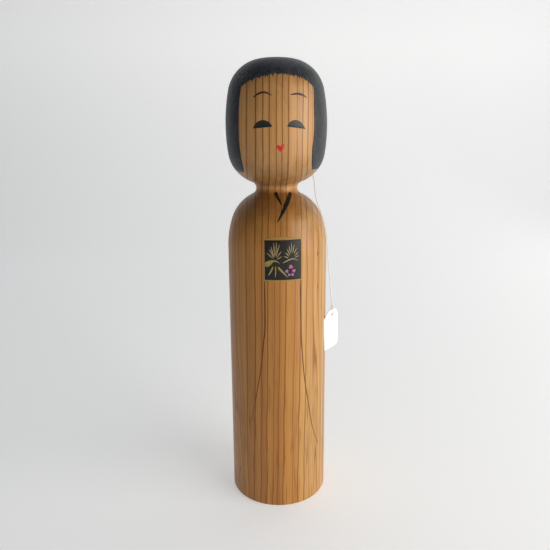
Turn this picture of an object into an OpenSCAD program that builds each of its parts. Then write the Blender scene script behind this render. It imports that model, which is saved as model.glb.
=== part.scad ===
// Turned wooden doll with a swivelling head, painted hair, face and kimono, and a paper swing tag.
// Frame: origin at the centre of the foot, +Z up, the face looks along -Y. All sizes in millimetres.
// Left and right are as seen by someone who looks the doll in the face.

/* [Doll] */
// Height of the whole doll
doll_h = 360; // [354:0.5:366]
// Height of the seam where the head sits on the neck
neck_z = 263; // [261:0.5:265]
// Radius of the neck at that seam
neck_r = 16.4; // [15.5:0.1:17.5]
// Radius of the hollow sweep above and below the seam
cove_r = 5; // [4:0.1:6]
// Gap that shows as the hairline seam
seam_gap = 0.2; // [0.1:0.05:0.4]

/* [Head] */
// Largest radius of the head
head_r = 39.3; // [38.5:0.1:40.2]
// Height at which the head is widest
head_widest_z = 310; // [308:0.5:312]
// Radius of the flat dome on top
dome_r = 90; // [80:1:110]
// Radius of the turn from dome to cheek
crown_r = 28; // [27:0.5:29]
// Radius of the long curve down the cheek
cheek_r = 140; // [125:1:160]
// Radius of the turn under the chin
chin_r = 28; // [26:0.5:30]

/* [Body] */
// Largest radius of the body, at the top of its straight side
body_r = 40; // [39.5:0.1:40.4]
// Height at which the straight side gives way to the shoulder
shoulder_z = 216; // [213:0.5:219]
// Radius of the long curve that starts the shoulder
shoulder_long_r = 75; // [68:0.5:82]
// Radius of the rounder curve that ends it
shoulder_short_r = 32; // [29:0.5:34]
// Radius of the foot
foot_r = 40.6; // [40.5:0.1:42]
// Rounding of the foot's edge
foot_edge_r = 1.2; // [0.5:0.1:2]

/* [Neck joint] */
// Radius of the peg below the head
peg_r = 11; // [9:0.1:12]
// Length of the peg
peg_h = 30; // [24:0.5:34]
// Clearance round the peg
peg_gap = 0.05; // [0.03:0.01:0.1]
// How far the bead that keeps the head in stands out of the peg
bead_h = 0.7; // [0.5:0.1:1]

/* [Paint] */
// Thickness of a coat of paint, several times that of real paint
coat = 0.2; // [0.15:0.05:0.3]
// Thickness of the hair's coat, several times that of real lacquer
hair_coat = 0.4; // [0.35:0.05:0.6]
// Height of the hair's lower edge
hair_z = 277; // [275:0.5:279]
// Height of the fringe
fringe_z = 343.5; // [340:0.5:347]
// Turn from the middle of the face to the left lock's inner edge, in degrees
lock_left = 49; // [42:1:54]
// Turn from the middle of the face to the right lock's inner edge, in degrees
lock_right = 40; // [36:1:50]
// Width of the thin kimono lines
line_w = 0.8; // [0.5:0.1:1.2]

/* [Chest panel] */
// Centre of the black panel across the chest
panel_x = 1.3; // [0:0.1:2]
// Height of the panel's lower edge
panel_z = 197; // [192:0.5:199]
// Width of the panel
panel_w = 27.6; // [25:0.1:28]
// Height of the panel
panel_h = 30.3; // [30:0.1:31]
// Width of the gold edge down the sides and along the bottom
edge_w = 0.9; // [0.5:0.1:1.5]
// Height of the gold arch over the panel
arch_h = 2.2; // [1.5:0.1:3]

/* [Swing tag] */
// Width of the card
tag_w = 23; // [20:0.5:25]
// Height of the card
tag_h = 34; // [30:0.5:38]
// Thickness of the card
tag_t = 0.4; // [0.3:0.05:0.6]
// Size of the two cut corners
tag_cut = 7; // [5:0.5:9]
// Radius of the punched hole
tag_hole_r = 1.6; // [1.5:0.1:2]
// Direction of the card's face, in degrees round from the front
tag_turn = 49; // [45:1:55]
// Thickness of the thread
thread_d = 0.8; // [0.6:0.1:1]

/* [Hidden] */
$fn = 96;

wood = "#b98149";
black = "#23252a";
maroon = "#4a231c";
red = "#c0231f";
ink = "#2b1a12";
gold = "#b8944e";
olive = "#8c8040";
pale_gold = "#a89572";
pink = "#c06a9a";
card = "#f4f3ef";
cotton = "#e4dfd4";

// A front view's outline is pushed this far towards the front, past the widest point.
front_reach = 60;

// ---------- outlines of the turned wood ----------

function unit(v) = v / norm(v);

// Where two circles cross: up is 1 for the higher of the two points and -1 for the lower.
function meet(c1, r1, c2, r2, up) =
    let (
        v = c2 - c1,
        d = norm(v),
        a = (r1 * r1 - r2 * r2 + d * d) / (2 * d),
        h = sqrt(r1 * r1 - a * a),
        across = [-v[1], v[0]] / d
    )
    c1 + a * v / d + up * h * sign(across[1]) * across;

// Centres of the arcs, each tangent to the next.
cove_c = [neck_r + cove_r, neck_z];
dome_c = [0, doll_h - dome_r];
cheek_c = [head_r - cheek_r, head_widest_z];
crown_c = meet(dome_c, dome_r - crown_r, cheek_c, cheek_r - crown_r, 1);
chin_c = meet(cheek_c, cheek_r - chin_r, cove_c, chin_r + cove_r, 1);
long_c = [body_r - shoulder_long_r, shoulder_z];
short_c = meet(long_c, shoulder_long_r - shoulder_short_r, cove_c, shoulder_short_r + cove_r, -1);
foot_c = [foot_r - foot_edge_r, foot_edge_r];

// The part of a circle that bulges past the chord between two directions.
module bulge(c, r, from, to) {
    intersection() {
        translate(c) circle(r);
        polygon([c + r * from, c + 2 * r * from, c + 2 * r * to, c + r * to]);
    }
}

// Half of the head's section. grow moves the whole outline outwards, as a coat of paint does.
module head_half(grow = 0) {
    dome_crown = unit(crown_c - dome_c);
    crown_cheek = unit(crown_c - cheek_c);
    cheek_chin = unit(chin_c - cheek_c);
    chin_cove = unit(cove_c - chin_c);
    difference() {
        union() {
            polygon([
                [0, neck_z + seam_gap],
                [neck_r + grow + cove_r / 2, neck_z + seam_gap],
                chin_c + (chin_r + grow) * chin_cove,
                cheek_c + (cheek_r + grow) * cheek_chin,
                cheek_c + (cheek_r + grow) * crown_cheek,
                dome_c + (dome_r + grow) * dome_crown,
                [0, doll_h + grow]
            ]);
            bulge(dome_c, dome_r + grow, [0, 1], dome_crown);
            bulge(crown_c, crown_r + grow, dome_crown, crown_cheek);
            bulge(cheek_c, cheek_r + grow, crown_cheek, cheek_chin);
            bulge(chin_c, chin_r + grow, cheek_chin, chin_cove);
        }
        translate(cove_c) circle(cove_r - grow);
    }
}

// Half of the body's section.
module body_half(grow = 0) {
    long_short = unit(short_c - long_c);
    short_cove = unit(cove_c - short_c);
    difference() {
        union() {
            polygon([
                [0, -grow],
                [foot_c[0], -grow],
                [foot_r + grow, foot_c[1]],
                [body_r + grow, shoulder_z],
                long_c + (shoulder_long_r + grow) * long_short,
                short_c + (shoulder_short_r + grow) * short_cove,
                [neck_r + grow + cove_r / 2, neck_z],
                [0, neck_z]
            ]);
            bulge(foot_c, foot_edge_r + grow, [0, -1], [1, 0]);
            bulge(long_c, shoulder_long_r + grow, [1, 0], long_short);
            bulge(short_c, shoulder_short_r + grow, long_short, short_cove);
        }
        translate(cove_c) circle(cove_r - grow);
    }
}

// ---------- the two turned pieces ----------

bead_z = neck_z - peg_h * 0.6;
bead_rim_r = 1.4;
peg_nose = 1.5;
socket_room = 2;

module ring(r, z, rim_r) {
    rotate_extrude() translate([r, z]) circle(rim_r);
}

module body() {
    color(wood) difference() {
        rotate_extrude() body_half();
        translate([0, 0, neck_z - peg_h - socket_room])
            cylinder(r = peg_r + peg_gap, h = peg_h + 2 * socket_room);
        ring(peg_r + bead_h - bead_rim_r, bead_z, bead_rim_r + 0.3);
    }
}

module head() {
    color(wood) {
        rotate_extrude() head_half();
        translate([0, 0, neck_z - peg_h + peg_nose]) cylinder(r = peg_r, h = peg_h);
        translate([0, 0, neck_z - peg_h]) cylinder(r1 = peg_r - peg_nose, r2 = peg_r, h = peg_nose);
        ring(peg_r + bead_h - bead_rim_r, bead_z, bead_rim_r);
    }
}

// ---------- coats of paint ----------

// A front outline, drawn in X and Z, pushed towards the front.
module from_front() {
    rotate([90, 0, 0]) linear_extrude(front_reach) children();
}

module head_coat() {
    intersection() {
        rotate_extrude() difference() {
            head_half(coat);
            head_half();
        }
        from_front() children();
    }
}

// layer 0 lies on the wood, layer 1 on top of a coat that is already there.
module body_coat(layer = 0) {
    intersection() {
        rotate_extrude() difference() {
            body_half((layer + 1) * coat);
            body_half(layer * coat);
        }
        from_front() children();
    }
}

// The bobbed hair is open in front, between the inner edges of the side locks and below the fringe.
module hair() {
    open_w = lock_left + lock_right;
    color(black) {
        rotate([0, 0, lock_right - 90]) rotate_extrude(angle = 360 - open_w) difference() {
            hair_above(hair_z);
            translate([0, fringe_z]) square(2 * head_r);
        }
        rotate_extrude() hair_above(fringe_z);
    }
}

// The section of the head's coat above a height.
module hair_above(low) {
    difference() {
        head_half(hair_coat);
        head_half();
        translate([0, neck_z - 1]) square([2 * head_r, low - neck_z + 1]);
    }
}

// Points along an arc.
function arc(c, r, from, to, steps) =
    [for (i = [0 : steps]) let (a = from + (to - from) * i / steps) c + r * [cos(a), sin(a)]];

// A brush stroke: a band along a line of points, half_w wide to each side of each point.
module stroke(points, half_w) {
    last = len(points) - 1;
    side = [
        for (i = [0 : last])
            let (along = unit(points[min(i + 1, last)] - points[max(i - 1, 0)]))
            half_w[i] * [-along[1], along[0]]
    ];
    polygon(concat(
        [for (i = [0 : last]) points[i] + side[i]],
        [for (i = [last : -1 : 0]) points[i] - side[i]]
    ));
}

// Steps of 0 to 1 along a stroke.
function shares(steps) = [for (i = [0 : steps]) i / steps];

// A brow: an arch that rises in the middle and thins to both ends.
module brow_stroke(span, rise, thick) {
    t = shares(10);
    stroke(
        [for (u = t) [(u - 0.5) * span, rise * 4 * u * (1 - u)]],
        [for (u = t) thick / 2 * (0.15 + 3.4 * u * (1 - u))]
    );
}

module left_brow() {
    color(maroon) head_coat() translate([-12.6, 330]) rotate(4) brow_stroke(12.8, 2.2, 0.9);
}

module right_brow() {
    color(maroon) head_coat() translate([13.3, 330]) rotate(-7) brow_stroke(12.6, 1.4, 0.8);
}

// A half moon with a flat lower lid.
module eye_outline(span, rise) {
    lid_r = (span * span / 4 + rise * rise) / (2 * rise);
    difference() {
        translate([0, rise - lid_r]) circle(lid_r);
        translate([-lid_r, -2 * lid_r]) square([2 * lid_r, 2 * lid_r]);
    }
}

module left_eye() {
    color(black) head_coat() translate([-12.9, 308.8]) rotate(3) eye_outline(13, 5);
}

module right_eye() {
    color(black) head_coat() translate([11.2, 308.6]) rotate(-4.5) eye_outline(13.2, 5);
}

// Two small upper lobes over one fuller lower lobe.
module lips() {
    color(red) head_coat() translate([-0.5, 294.6]) {
        for (side = [-1, 1])
            translate([side * 1.3, 0.9]) circle(1.5);
        translate([0, -1.1]) circle(1.7);
    }
}

// A collar line laid down by a loaded brush: blunt start, fat middle and pointed end.
module collar_stroke(from, to, width) {
    t = shares(8);
    stroke(
        [for (u = t) from + u * (to - from)],
        [for (u = t) width * (0.06 + 1.3 * pow(u, 0.35) * (1 - u) * (u < 0.4 ? 1 : 1.4 - u))]
    );
}

module left_collar() {
    color(ink) body_coat() collar_stroke([-2.6, 260.2], [1.2, 252.1], 2.6);
}

module right_collar() {
    color(ink) body_coat() collar_stroke([9.6, 259.4], [-2.4, 240.6], 3);
}

// ---------- the painted chest panel ----------

module panel_outline() {
    translate([panel_x - panel_w / 2, panel_z]) square([panel_w, panel_h]);
}

module panel_ground() {
    color(black) body_coat() panel_outline();
}

module panel_edge() {
    half_w = panel_w / 2 + edge_w;
    arch_r = (half_w * half_w + arch_h * arch_h) / (2 * arch_h);
    color(gold) body_coat() difference() {
        union() {
            translate([panel_x - half_w, panel_z - edge_w]) square([2 * half_w, panel_h + 1.4 * edge_w]);
            intersection() {
                translate([panel_x, panel_z + panel_h + arch_h - arch_r]) circle(arch_r);
                translate([panel_x - half_w, panel_z + panel_h]) square([2 * half_w, arch_h]);
            }
        }
        panel_outline();
    }
}

// A pine tuft: needles that fan out from one root, longest in the middle.
module pine_tuft(count, first, step, short, long, sharpness) {
    t = shares(3);
    for (i = [0 : count - 1]) {
        lean = first + i * step;
        length = short + (long - short) * pow(cos(lean), sharpness);
        rotate(-lean) stroke(
            [for (u = t) [0, 1.6 + u * (length - 1.6)]],
            [for (u = t) 0.2 + 0.6 * u * (1.25 - u)]
        );
    }
}

module left_pine() {
    color(pale_gold) body_coat(1) translate([-4.6, 212.8]) pine_tuft(8, -50, 16.5, 4, 13.2, 1.5);
}

module right_pine() {
    color(pale_gold) body_coat(1) translate([8.1, 213.6]) pine_tuft(9, -72, 18, 4.8, 11.8, 4);
}

// The broad olive leaf that comes in from the panel's left edge and thins into a stalk.
module pine_leaf() {
    bend = arc([-6.2, 197.6], 13, 118, 66, 10);
    color(olive) body_coat(1) stroke(bend, [for (u = shares(10)) 0.3 + 1.25 * pow(max(0, 1 - 1.7 * u), 0.8)]);
}

module pine_branch() {
    bend = arc([7.7, 204], 8.6, 138, 50, 10);
    color(pale_gold) body_coat(1) stroke(bend, [for (u = shares(10)) 0.3 + 0.6 * u * (1 - u)]);
}

// A bamboo leaf, pointed at both ends and fattest near its stalk.
module bamboo_leaf(from, to, width) {
    t = shares(8);
    stroke([for (u = t) from + u * (to - from)], [for (u = t) 0.06 + width * 1.3 * pow(u, 0.7) * (1 - u)]);
}

module bamboo_leaves() {
    color(olive) body_coat(1) {
        bamboo_leaf([-6.2, 206.4], [-9.7, 199.4], 1.4);
        bamboo_leaf([-4.3, 206.6], [-4.4, 198.4], 1);
        bamboo_leaf([-2.8, 206.2], [5, 198.4], 1.7);
    }
}

module plum_blossom() {
    petals = 5;
    color(pink) body_coat(1) translate([7.2, 203.4])
        for (i = [0 : petals - 1])
            rotate(i * 360 / petals) translate([0, 3]) circle(1.5);
}

// ---------- the kimono's side lines ----------

line_top_z = panel_z - 2;

// A line that drops straight from the panel and then sweeps outwards, and thins out at its end.
module sweep_line(top_x, bend_z, end_x, end_z, power) {
    t = shares(16);
    z_at = [for (u = t) line_top_z + u * (end_z - line_top_z)];
    bend_at = [for (z = z_at) max(0, (bend_z - z) / (bend_z - end_z))];
    stroke(
        [for (i = [0 : len(t) - 1]) [top_x + (end_x - top_x) * pow(bend_at[i], power), z_at[i]]],
        [for (u = t) line_w / 2 * (1 - 0.6 * pow(u, 4))]
    );
}

module left_sleeve() {
    color(ink) body_coat() sweep_line(-12.4, 160, -26.6, 74, 1.4);
}

module right_sleeve() {
    color(ink) body_coat() sweep_line(15.2, 152, 31.3, 48, 1.8);
}

// ---------- thread and swing tag ----------

// The thread leaves the shoulder and swings at [39.3, -6.3, 228.3].
// Centre of the hole in the card.
hole_at = [44.9, -8.8, 158];

// From the shoulder up past the chin, round behind the neck and down on to the back of the other shoulder.
neck_route = [
    [38.95, -6.15, 229.3], [37.8, -5.4, 235.5], [35.2, -4.4, 243.2], [33.2, -3, 248.6],
    [31.6, -0.8, 254.4], [31.2, 3, 262], [31.2, 8.5, 268.6], [29.8, 15.5, 273.2],
    [26, 22.8, 274.8], [20, 28.6, 272.8], [12.6, 31.6, 267.6], [5.6, 31.8, 260.8],
    [-1.6, 31, 254.4], [-8.4, 31.4, 249], [-14.4, 32.4, 244.4]
];
// From the shoulder down to the knot over the card.
hanging_route = [
    [39.55, -6.42, 227.3], [40.05, -6.55, 223], [40.7, -6.9, 212.5], [41.5, -7.3, 202],
    [42.4, -7.7, 191.5], [43.3, -8.1, 181], [44.1, -8.5, 172], [44.8, -8.76, 165.4]
];
thread_sides = 8;
steps_per_stretch = 3;

// A smooth curve through the route's points.
function curve_point(p0, p1, p2, p3, t) =
    0.5 * (2 * p1 + (p2 - p0) * t + (2 * p0 - 5 * p1 + 4 * p2 - p3) * t * t
        + (3 * p1 - p0 - 3 * p2 + p3) * t * t * t);

function smooth(route) =
    let (last = len(route) - 1)
    concat(
        [for (i = [0 : last - 1]) for (k = [0 : steps_per_stretch - 1])
            curve_point(
                route[max(i - 1, 0)], route[i], route[i + 1], route[min(i + 2, last)], k / steps_per_stretch
            )],
        [route[last]]
    );

// A round tube that follows a route, as one closed skin.
module thread_tube(route) {
    path = smooth(route);
    last = len(path) - 1;
    points = [
        for (i = [0 : last])
            let (
                along = unit(path[min(i + 1, last)] - path[max(i - 1, 0)]),
                side = unit(cross(along, [path[i][0], path[i][1], 0])),
                out = cross(side, along)
            )
            for (k = [0 : thread_sides - 1])
                path[i]
                    + thread_d / 2 * cos(k * 360 / thread_sides) * out
                    + thread_d / 2 * sin(k * 360 / thread_sides) * side
    ];
    skin = [
        for (i = [0 : last - 1]) for (k = [0 : thread_sides - 1])
            let (next = (k + 1) % thread_sides)
            [
                i * thread_sides + k, (i + 1) * thread_sides + k,
                (i + 1) * thread_sides + next, i * thread_sides + next
            ]
    ];
    start_cap = [for (k = [0 : thread_sides - 1]) k];
    end_cap = [for (k = [thread_sides - 1 : -1 : 0]) last * thread_sides + k];
    polyhedron(points, concat([start_cap], skin, [end_cap]));
}

module neck_thread() {
    color(cotton) thread_tube(neck_route);
}

knot_r = 1.1;

module thread_knot() {
    end = neck_route[len(neck_route) - 1];
    before = neck_route[len(neck_route) - 2];
    color(cotton) translate(end + 0.8 * knot_r * unit(end - before)) sphere(knot_r);
}

module hanging_thread() {
    color(cotton) thread_tube(hanging_route);
}

tag_top = 4.5;
loop_r = 2.7;

// The loop that passes through the hole and over the card's upper edge, with the knot that closes it.
module tag_loop() {
    color(cotton) translate(hole_at) rotate([0, 0, tag_turn]) {
        translate([0, 0, loop_r]) rotate([0, 90, 0])
            rotate_extrude() translate([loop_r, 0]) circle(thread_d / 2);
        translate([0, 0, 2 * loop_r + 0.9]) sphere(knot_r);
    }
}

module tag_card() {
    color(card) translate(hole_at) rotate([90, 0, tag_turn])
        translate([0, 0, -tag_t / 2]) linear_extrude(tag_t)
        difference() {
            polygon([
                [-tag_w / 2, tag_top - tag_h],
                [tag_w / 2, tag_top - tag_h],
                [tag_w / 2, tag_top - tag_cut],
                [tag_w / 2 - tag_cut, tag_top],
                [tag_cut - tag_w / 2, tag_top],
                [-tag_w / 2, tag_top - tag_cut]
            ]);
            circle(tag_hole_r);
        }
}

body();
head();
hair();
left_brow();
right_brow();
left_eye();
right_eye();
lips();
left_collar();
right_collar();
panel_ground();
panel_edge();
left_pine();
right_pine();
pine_leaf();
pine_branch();
bamboo_leaves();
plum_blossom();
left_sleeve();
right_sleeve();
neck_thread();
thread_knot();
hanging_thread();
tag_loop();
tag_card();
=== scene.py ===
"""A turned and painted wooden kokeshi doll with a strung swing tag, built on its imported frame.

Everything is in metres in the frame's own axes: +Z up the lathe axis, the face looks along -Y.
Left and right are as seen by someone who looks the doll in the face.
"""

import bisect
import math
import random

import bmesh
import bpy
from mathutils import Matrix, Vector, noise
from mathutils.geometry import delaunay_2d_cdt


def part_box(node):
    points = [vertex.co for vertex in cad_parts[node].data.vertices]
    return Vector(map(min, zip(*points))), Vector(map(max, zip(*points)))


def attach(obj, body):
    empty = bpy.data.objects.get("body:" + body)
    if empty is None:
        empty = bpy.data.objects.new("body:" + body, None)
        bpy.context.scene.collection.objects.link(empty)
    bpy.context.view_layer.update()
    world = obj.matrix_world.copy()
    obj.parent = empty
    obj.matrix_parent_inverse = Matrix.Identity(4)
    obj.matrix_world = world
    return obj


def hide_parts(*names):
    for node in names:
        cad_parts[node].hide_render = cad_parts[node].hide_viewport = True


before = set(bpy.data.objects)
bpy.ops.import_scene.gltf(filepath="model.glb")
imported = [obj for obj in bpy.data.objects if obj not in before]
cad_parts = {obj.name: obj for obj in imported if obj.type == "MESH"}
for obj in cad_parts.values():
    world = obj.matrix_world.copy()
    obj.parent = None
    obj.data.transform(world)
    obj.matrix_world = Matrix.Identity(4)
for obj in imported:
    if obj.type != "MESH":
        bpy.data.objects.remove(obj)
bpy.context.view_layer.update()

bl_info = {
    "name": "Kokeshi Doll",
    "version": (1, 0, 0),
    "blender": (4, 5, 0),
    "location": "3D View > Sidebar > Kokeshi",
    "description": "Builds a turned and painted wooden doll with a swing tag on its packed frame",
    "category": "Add Mesh",
}

MM = 0.001
BODY_LOW, BODY_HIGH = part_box("body")
HEAD_LOW, HEAD_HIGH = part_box("head")
CARD_LOW, CARD_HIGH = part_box("tag_card")


def linear(code):
    """The linear colour of a sRGB hex value."""
    channels = [int(code[i : i + 2], 16) / 255 for i in (1, 3, 5)]
    return [c / 12.92 if c <= 0.04045 else ((c + 0.055) / 1.055) ** 2.4 for c in channels] + [1.0]


# ---------------------------------------------------------------- settings


def length(name, description, default):
    """A property that holds a length."""
    return bpy.props.FloatProperty(
        name=name, description=description, default=default, min=0.0,
        unit="LENGTH", subtype="DISTANCE", precision=5,
    )


def angle(name, description, degrees):
    """A property that holds an angle."""
    return bpy.props.FloatProperty(
        name=name, description=description, default=math.radians(degrees), subtype="ANGLE"
    )


def colour(name, description, code):
    """A property that holds a colour."""
    return bpy.props.FloatVectorProperty(
        name=name, description=description, default=linear(code), size=4, min=0.0, max=1.0, subtype="COLOR"
    )


class TurningSettings(bpy.types.PropertyGroup):
    """The outline of the two turned pieces."""

    doll_height: length("Doll height", "Foot to crown", HEAD_HIGH.z)
    seam_height: length("Seam height", "Where the head sits on the neck", BODY_HIGH.z)
    seam_gap: length("Seam gap", "Hairline between head and neck", 0.05 * MM)
    neck_radius: length("Neck radius", "Radius at the seam", 16.4 * MM)
    cove_radius: length("Cove radius", "Hollow sweep above and below the seam", 5 * MM)
    head_radius: length("Head radius", "Largest radius of the head", HEAD_HIGH.x)
    cheek_height: length("Cheek height", "Where the head is widest", 310 * MM)
    dome_radius: length("Dome radius", "Flat dome on top of the head", 90 * MM)
    crown_radius: length("Crown radius", "Turn from dome to cheek", 28 * MM)
    cheek_radius: length("Cheek radius", "Long curve down the cheek", 140 * MM)
    chin_radius: length("Chin radius", "Turn under the chin", 28 * MM)
    body_radius: length("Body radius", "Radius at the top of the straight side", 40 * MM)
    shoulder_height: length("Shoulder height", "Where the straight side ends", 216 * MM)
    shoulder_long_radius: length("Long shoulder radius", "Curve that starts the shoulder", 75 * MM)
    shoulder_short_radius: length("Short shoulder radius", "Rounder curve that ends it", 32 * MM)
    foot_radius: length("Foot radius", "Radius at the floor", BODY_HIGH.x)
    foot_edge_radius: length("Foot edge radius", "Rounding of the foot's edge", 1.2 * MM)
    peg_radius: length("Peg radius", "Peg under the head", 11 * MM)
    peg_gap: length("Peg gap", "Running clearance round the peg", 0.05 * MM)
    bead_height: length("Bead height", "Bead on the peg that keeps the head in", 0.7 * MM)


class WoodSettings(bpy.types.PropertyGroup):
    """The varnished conifer of head and body."""

    body_early: colour("Body earlywood", "Wood between the growth lines", "#c0863f")
    body_sapwood: colour("Body sapwood", "Paler, yellower wood towards the bark", "#c79a5b")
    body_heart: colour("Body heartwood", "Redder streaks in the body", "#a8672f")
    head_early: colour("Head earlywood", "Wood of the head between the growth lines", "#ca965b")
    head_sapwood: colour("Head sapwood", "Paler wood of the head towards the bark", "#c3985f")
    head_heart: colour("Head heartwood", "Redder streaks in the head", "#b47e46")
    body_latewood: colour("Body latewood", "Growth lines of the body", "#925412")
    head_latewood: colour("Head latewood", "Growth lines of the head", "#834c1c")
    pin_knot: colour("Pin knot", "Small dark knots", "#84562a")


class PaintSettings(bpy.types.PropertyGroup):
    """The painter's colours, and how thick a coat lies."""

    film: length("Film", "Thickness of one coat", 0.12 * MM)
    lacquer: colour("Lacquer", "Chest panel", "#1f1b19")
    hair: colour("Hair black", "Hair lacquer", "#292b2f")
    # This pale colour serves the real scratches and mottling, and also the painted sheen on the top of the
    # crown.
    rubbed_and_sheen: colour("Rubbed lacquer", "Where the crown is scuffed", "#6d6f70")
    eye: colour("Eye black", "Eyes", "#1b1f1e")
    brow: colour("Brow ink", "Brows", "#2e1212")
    lips: colour("Lip red", "Mouth", "#c5171f")
    kimono: colour("Kimono ink", "Collar and sleeve lines", "#1c100d")
    gold: colour("Gold", "Edge of the chest panel", "#97793c")
    pale_gold: colour("Pale gold", "Pine needles and branch", "#b79f70")
    olive: colour("Olive gold", "Leaves", "#8a7f38")
    lilac: colour("Lilac", "Plum blossom, cooler petals", "#8f6a98")
    pink: colour("Pink", "Plum blossom, warmer petals", "#b75586")


class TagSettings(bpy.types.PropertyGroup):
    """The paper swing tag and its thread."""

    card_width: length("Card width", "Width of the ticket", 23 * MM)
    card_height: length("Card height", "Height of the ticket", CARD_HIGH.z - CARD_LOW.z)
    card_thickness: length("Card thickness", "Thickness of the ticket", 0.35 * MM)
    corner_cut: length("Corner cut", "Size of the two cut corners", 7 * MM)
    hole_radius: length("Hole radius", "Punched hole", 1.6 * MM)
    thread: length("Thread", "Thickness of the twisted thread", 0.8 * MM)
    card: colour("Card", "White ticket card", "#f6f5f2")
    cotton: colour("Cotton", "Off-white thread", "#f8f5ee")


class StudioSettings(bpy.types.PropertyGroup):
    """Camera, light and floor."""

    focal_length: bpy.props.FloatProperty(
        name="Focal length", description="Lens in millimetres, on a 36 mm wide frame", default=36.0, min=10.0
    )
    distance: length("Distance", "Camera to the doll's axis, along the floor", 443.7 * MM)
    height: length("Height", "Camera above the floor", 302.2 * MM)
    turn: angle("Turn", "How far round to the doll's left the camera stands", 4.8)
    pitch: angle("Pitch", "How far the camera looks down", 14.1)
    aside: angle("Aside", "How far left of the doll the camera aims", 0.26)
    roll: angle("Roll", "How far the camera leans", -0.49)
    floor: colour("Floor", "Pale seamless floor", "#e6e6e5")
    window: colour("Window light", "Colour of the large soft light", "#fffcf6")
    room: colour("Room light", "Colour of the light from all round", "#dbe6f7")


GROUPS = {
    "kokeshi_turning": TurningSettings,
    "kokeshi_wood": WoodSettings,
    "kokeshi_paint": PaintSettings,
    "kokeshi_tag": TagSettings,
    "kokeshi_studio": StudioSettings,
}

# ---------------------------------------------------------------- outlines of the turned wood


def tangent_centre(c1, r1, c2, r2, up):
    """Where two circles cross: up is 1 for the higher of the two points and -1 for the lower."""
    gap = c2 - c1
    across = Vector((-gap.y, gap.x)).normalized()
    foot = (r1 * r1 - r2 * r2 + gap.length_squared) / (2 * gap.length)
    rise = math.sqrt(r1 * r1 - foot * foot)
    return c1 + foot * gap.normalized() + up * rise * math.copysign(1, across.y) * across


def arc(centre, radius, start, end, step=math.radians(1.2)):
    """Points round a centre, from one direction to another the short way."""
    first = math.atan2(start.y, start.x)
    turn = (math.atan2(end.y, end.x) - first + math.pi) % (2 * math.pi) - math.pi
    count = max(2, math.ceil(abs(turn) / step))
    angles = [first + turn * i / count for i in range(count + 1)]
    return [centre + radius * Vector((math.cos(a), math.sin(a))) for a in angles]


class Outline:
    """The outside of a turned piece, from its lower end up, as points (radius, height)."""

    def __init__(self, points):
        self.points = [points[0]]
        for point in points[1:]:
            if (point - self.points[-1]).length > 0.01 * MM:
                self.points.append(point)
        self.heights = [p.y for p in self.points]
        self.lengths = [0.0]
        for low, high in zip(self.points, self.points[1:]):
            self.lengths.append(self.lengths[-1] + (high - low).length)

    def between(self, keys, value):
        """Radius, height and outward direction where one of the point lists reaches a value."""
        i = min(max(bisect.bisect_left(keys, value), 1), len(keys) - 1)
        low, high = self.points[i - 1], self.points[i]
        here = low.lerp(high, (value - keys[i - 1]) / (keys[i] - keys[i - 1]))
        along = (high - low).normalized()
        return here, Vector((along.y, -along.x))

    def at_height(self, height):
        return self.between(self.heights, height)

    def at_length(self, run):
        return self.between(self.lengths, run)

    def length_at(self, height):
        """Distance along the outline, from its lower end, to a height."""
        i = min(max(bisect.bisect_left(self.heights, height), 1), len(self.heights) - 1)
        share = (height - self.heights[i - 1]) / (self.heights[i] - self.heights[i - 1])
        return self.lengths[i - 1] + share * (self.lengths[i] - self.lengths[i - 1])


RIGHT = Vector((1, 0))
LEFT = Vector((-1, 0))
UP = Vector((0, 1))
DOWN = Vector((0, -1))


def head_outline(turning):
    """Neck seam, cove, chin, cheek, crown and dome, each arc tangent to the next."""
    cove = Vector((turning.neck_radius + turning.cove_radius, turning.seam_height))
    dome = Vector((0, turning.doll_height - turning.dome_radius))
    cheek = Vector((turning.head_radius - turning.cheek_radius, turning.cheek_height))
    crown = tangent_centre(
        dome,
        turning.dome_radius - turning.crown_radius,
        cheek,
        turning.cheek_radius - turning.crown_radius,
        1,
    )
    chin = tangent_centre(
        cheek,
        turning.cheek_radius - turning.chin_radius,
        cove,
        turning.chin_radius + turning.cove_radius,
        1,
    )
    start = Vector((-math.sqrt(turning.cove_radius**2 - turning.seam_gap**2), turning.seam_gap))
    return Outline(
        arc(cove, turning.cove_radius, start, chin - cove)
        + arc(chin, turning.chin_radius, cove - chin, chin - cheek)
        + arc(cheek, turning.cheek_radius, chin - cheek, crown - cheek)
        + arc(crown, turning.crown_radius, crown - cheek, crown - dome)
        + arc(dome, turning.dome_radius, crown - dome, UP)
    )


def body_outline(turning):
    """Foot, straight side, shoulder and cove, up to the neck seam."""
    cove = Vector((turning.neck_radius + turning.cove_radius, turning.seam_height))
    long_arc = Vector((turning.body_radius - turning.shoulder_long_radius, turning.shoulder_height))
    short_arc = tangent_centre(
        long_arc,
        turning.shoulder_long_radius - turning.shoulder_short_radius,
        cove,
        turning.shoulder_short_radius + turning.cove_radius,
        -1,
    )
    foot = Vector((turning.foot_radius - turning.foot_edge_radius, turning.foot_edge_radius))
    top_of_foot = Vector((turning.foot_radius, turning.foot_edge_radius))
    top_of_side = Vector((turning.body_radius, turning.shoulder_height))
    side = [top_of_foot.lerp(top_of_side, i / 60) for i in range(61)]
    return Outline(
        arc(foot, turning.foot_edge_radius, DOWN, RIGHT, math.radians(9))
        + side
        + arc(long_arc, turning.shoulder_long_radius, RIGHT, short_arc - long_arc)
        + arc(short_arc, turning.shoulder_short_radius, short_arc - long_arc, cove - short_arc)
        + arc(cove, turning.cove_radius, short_arc - cove, LEFT)
    )


# ---------------------------------------------------------------- mesh work


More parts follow.
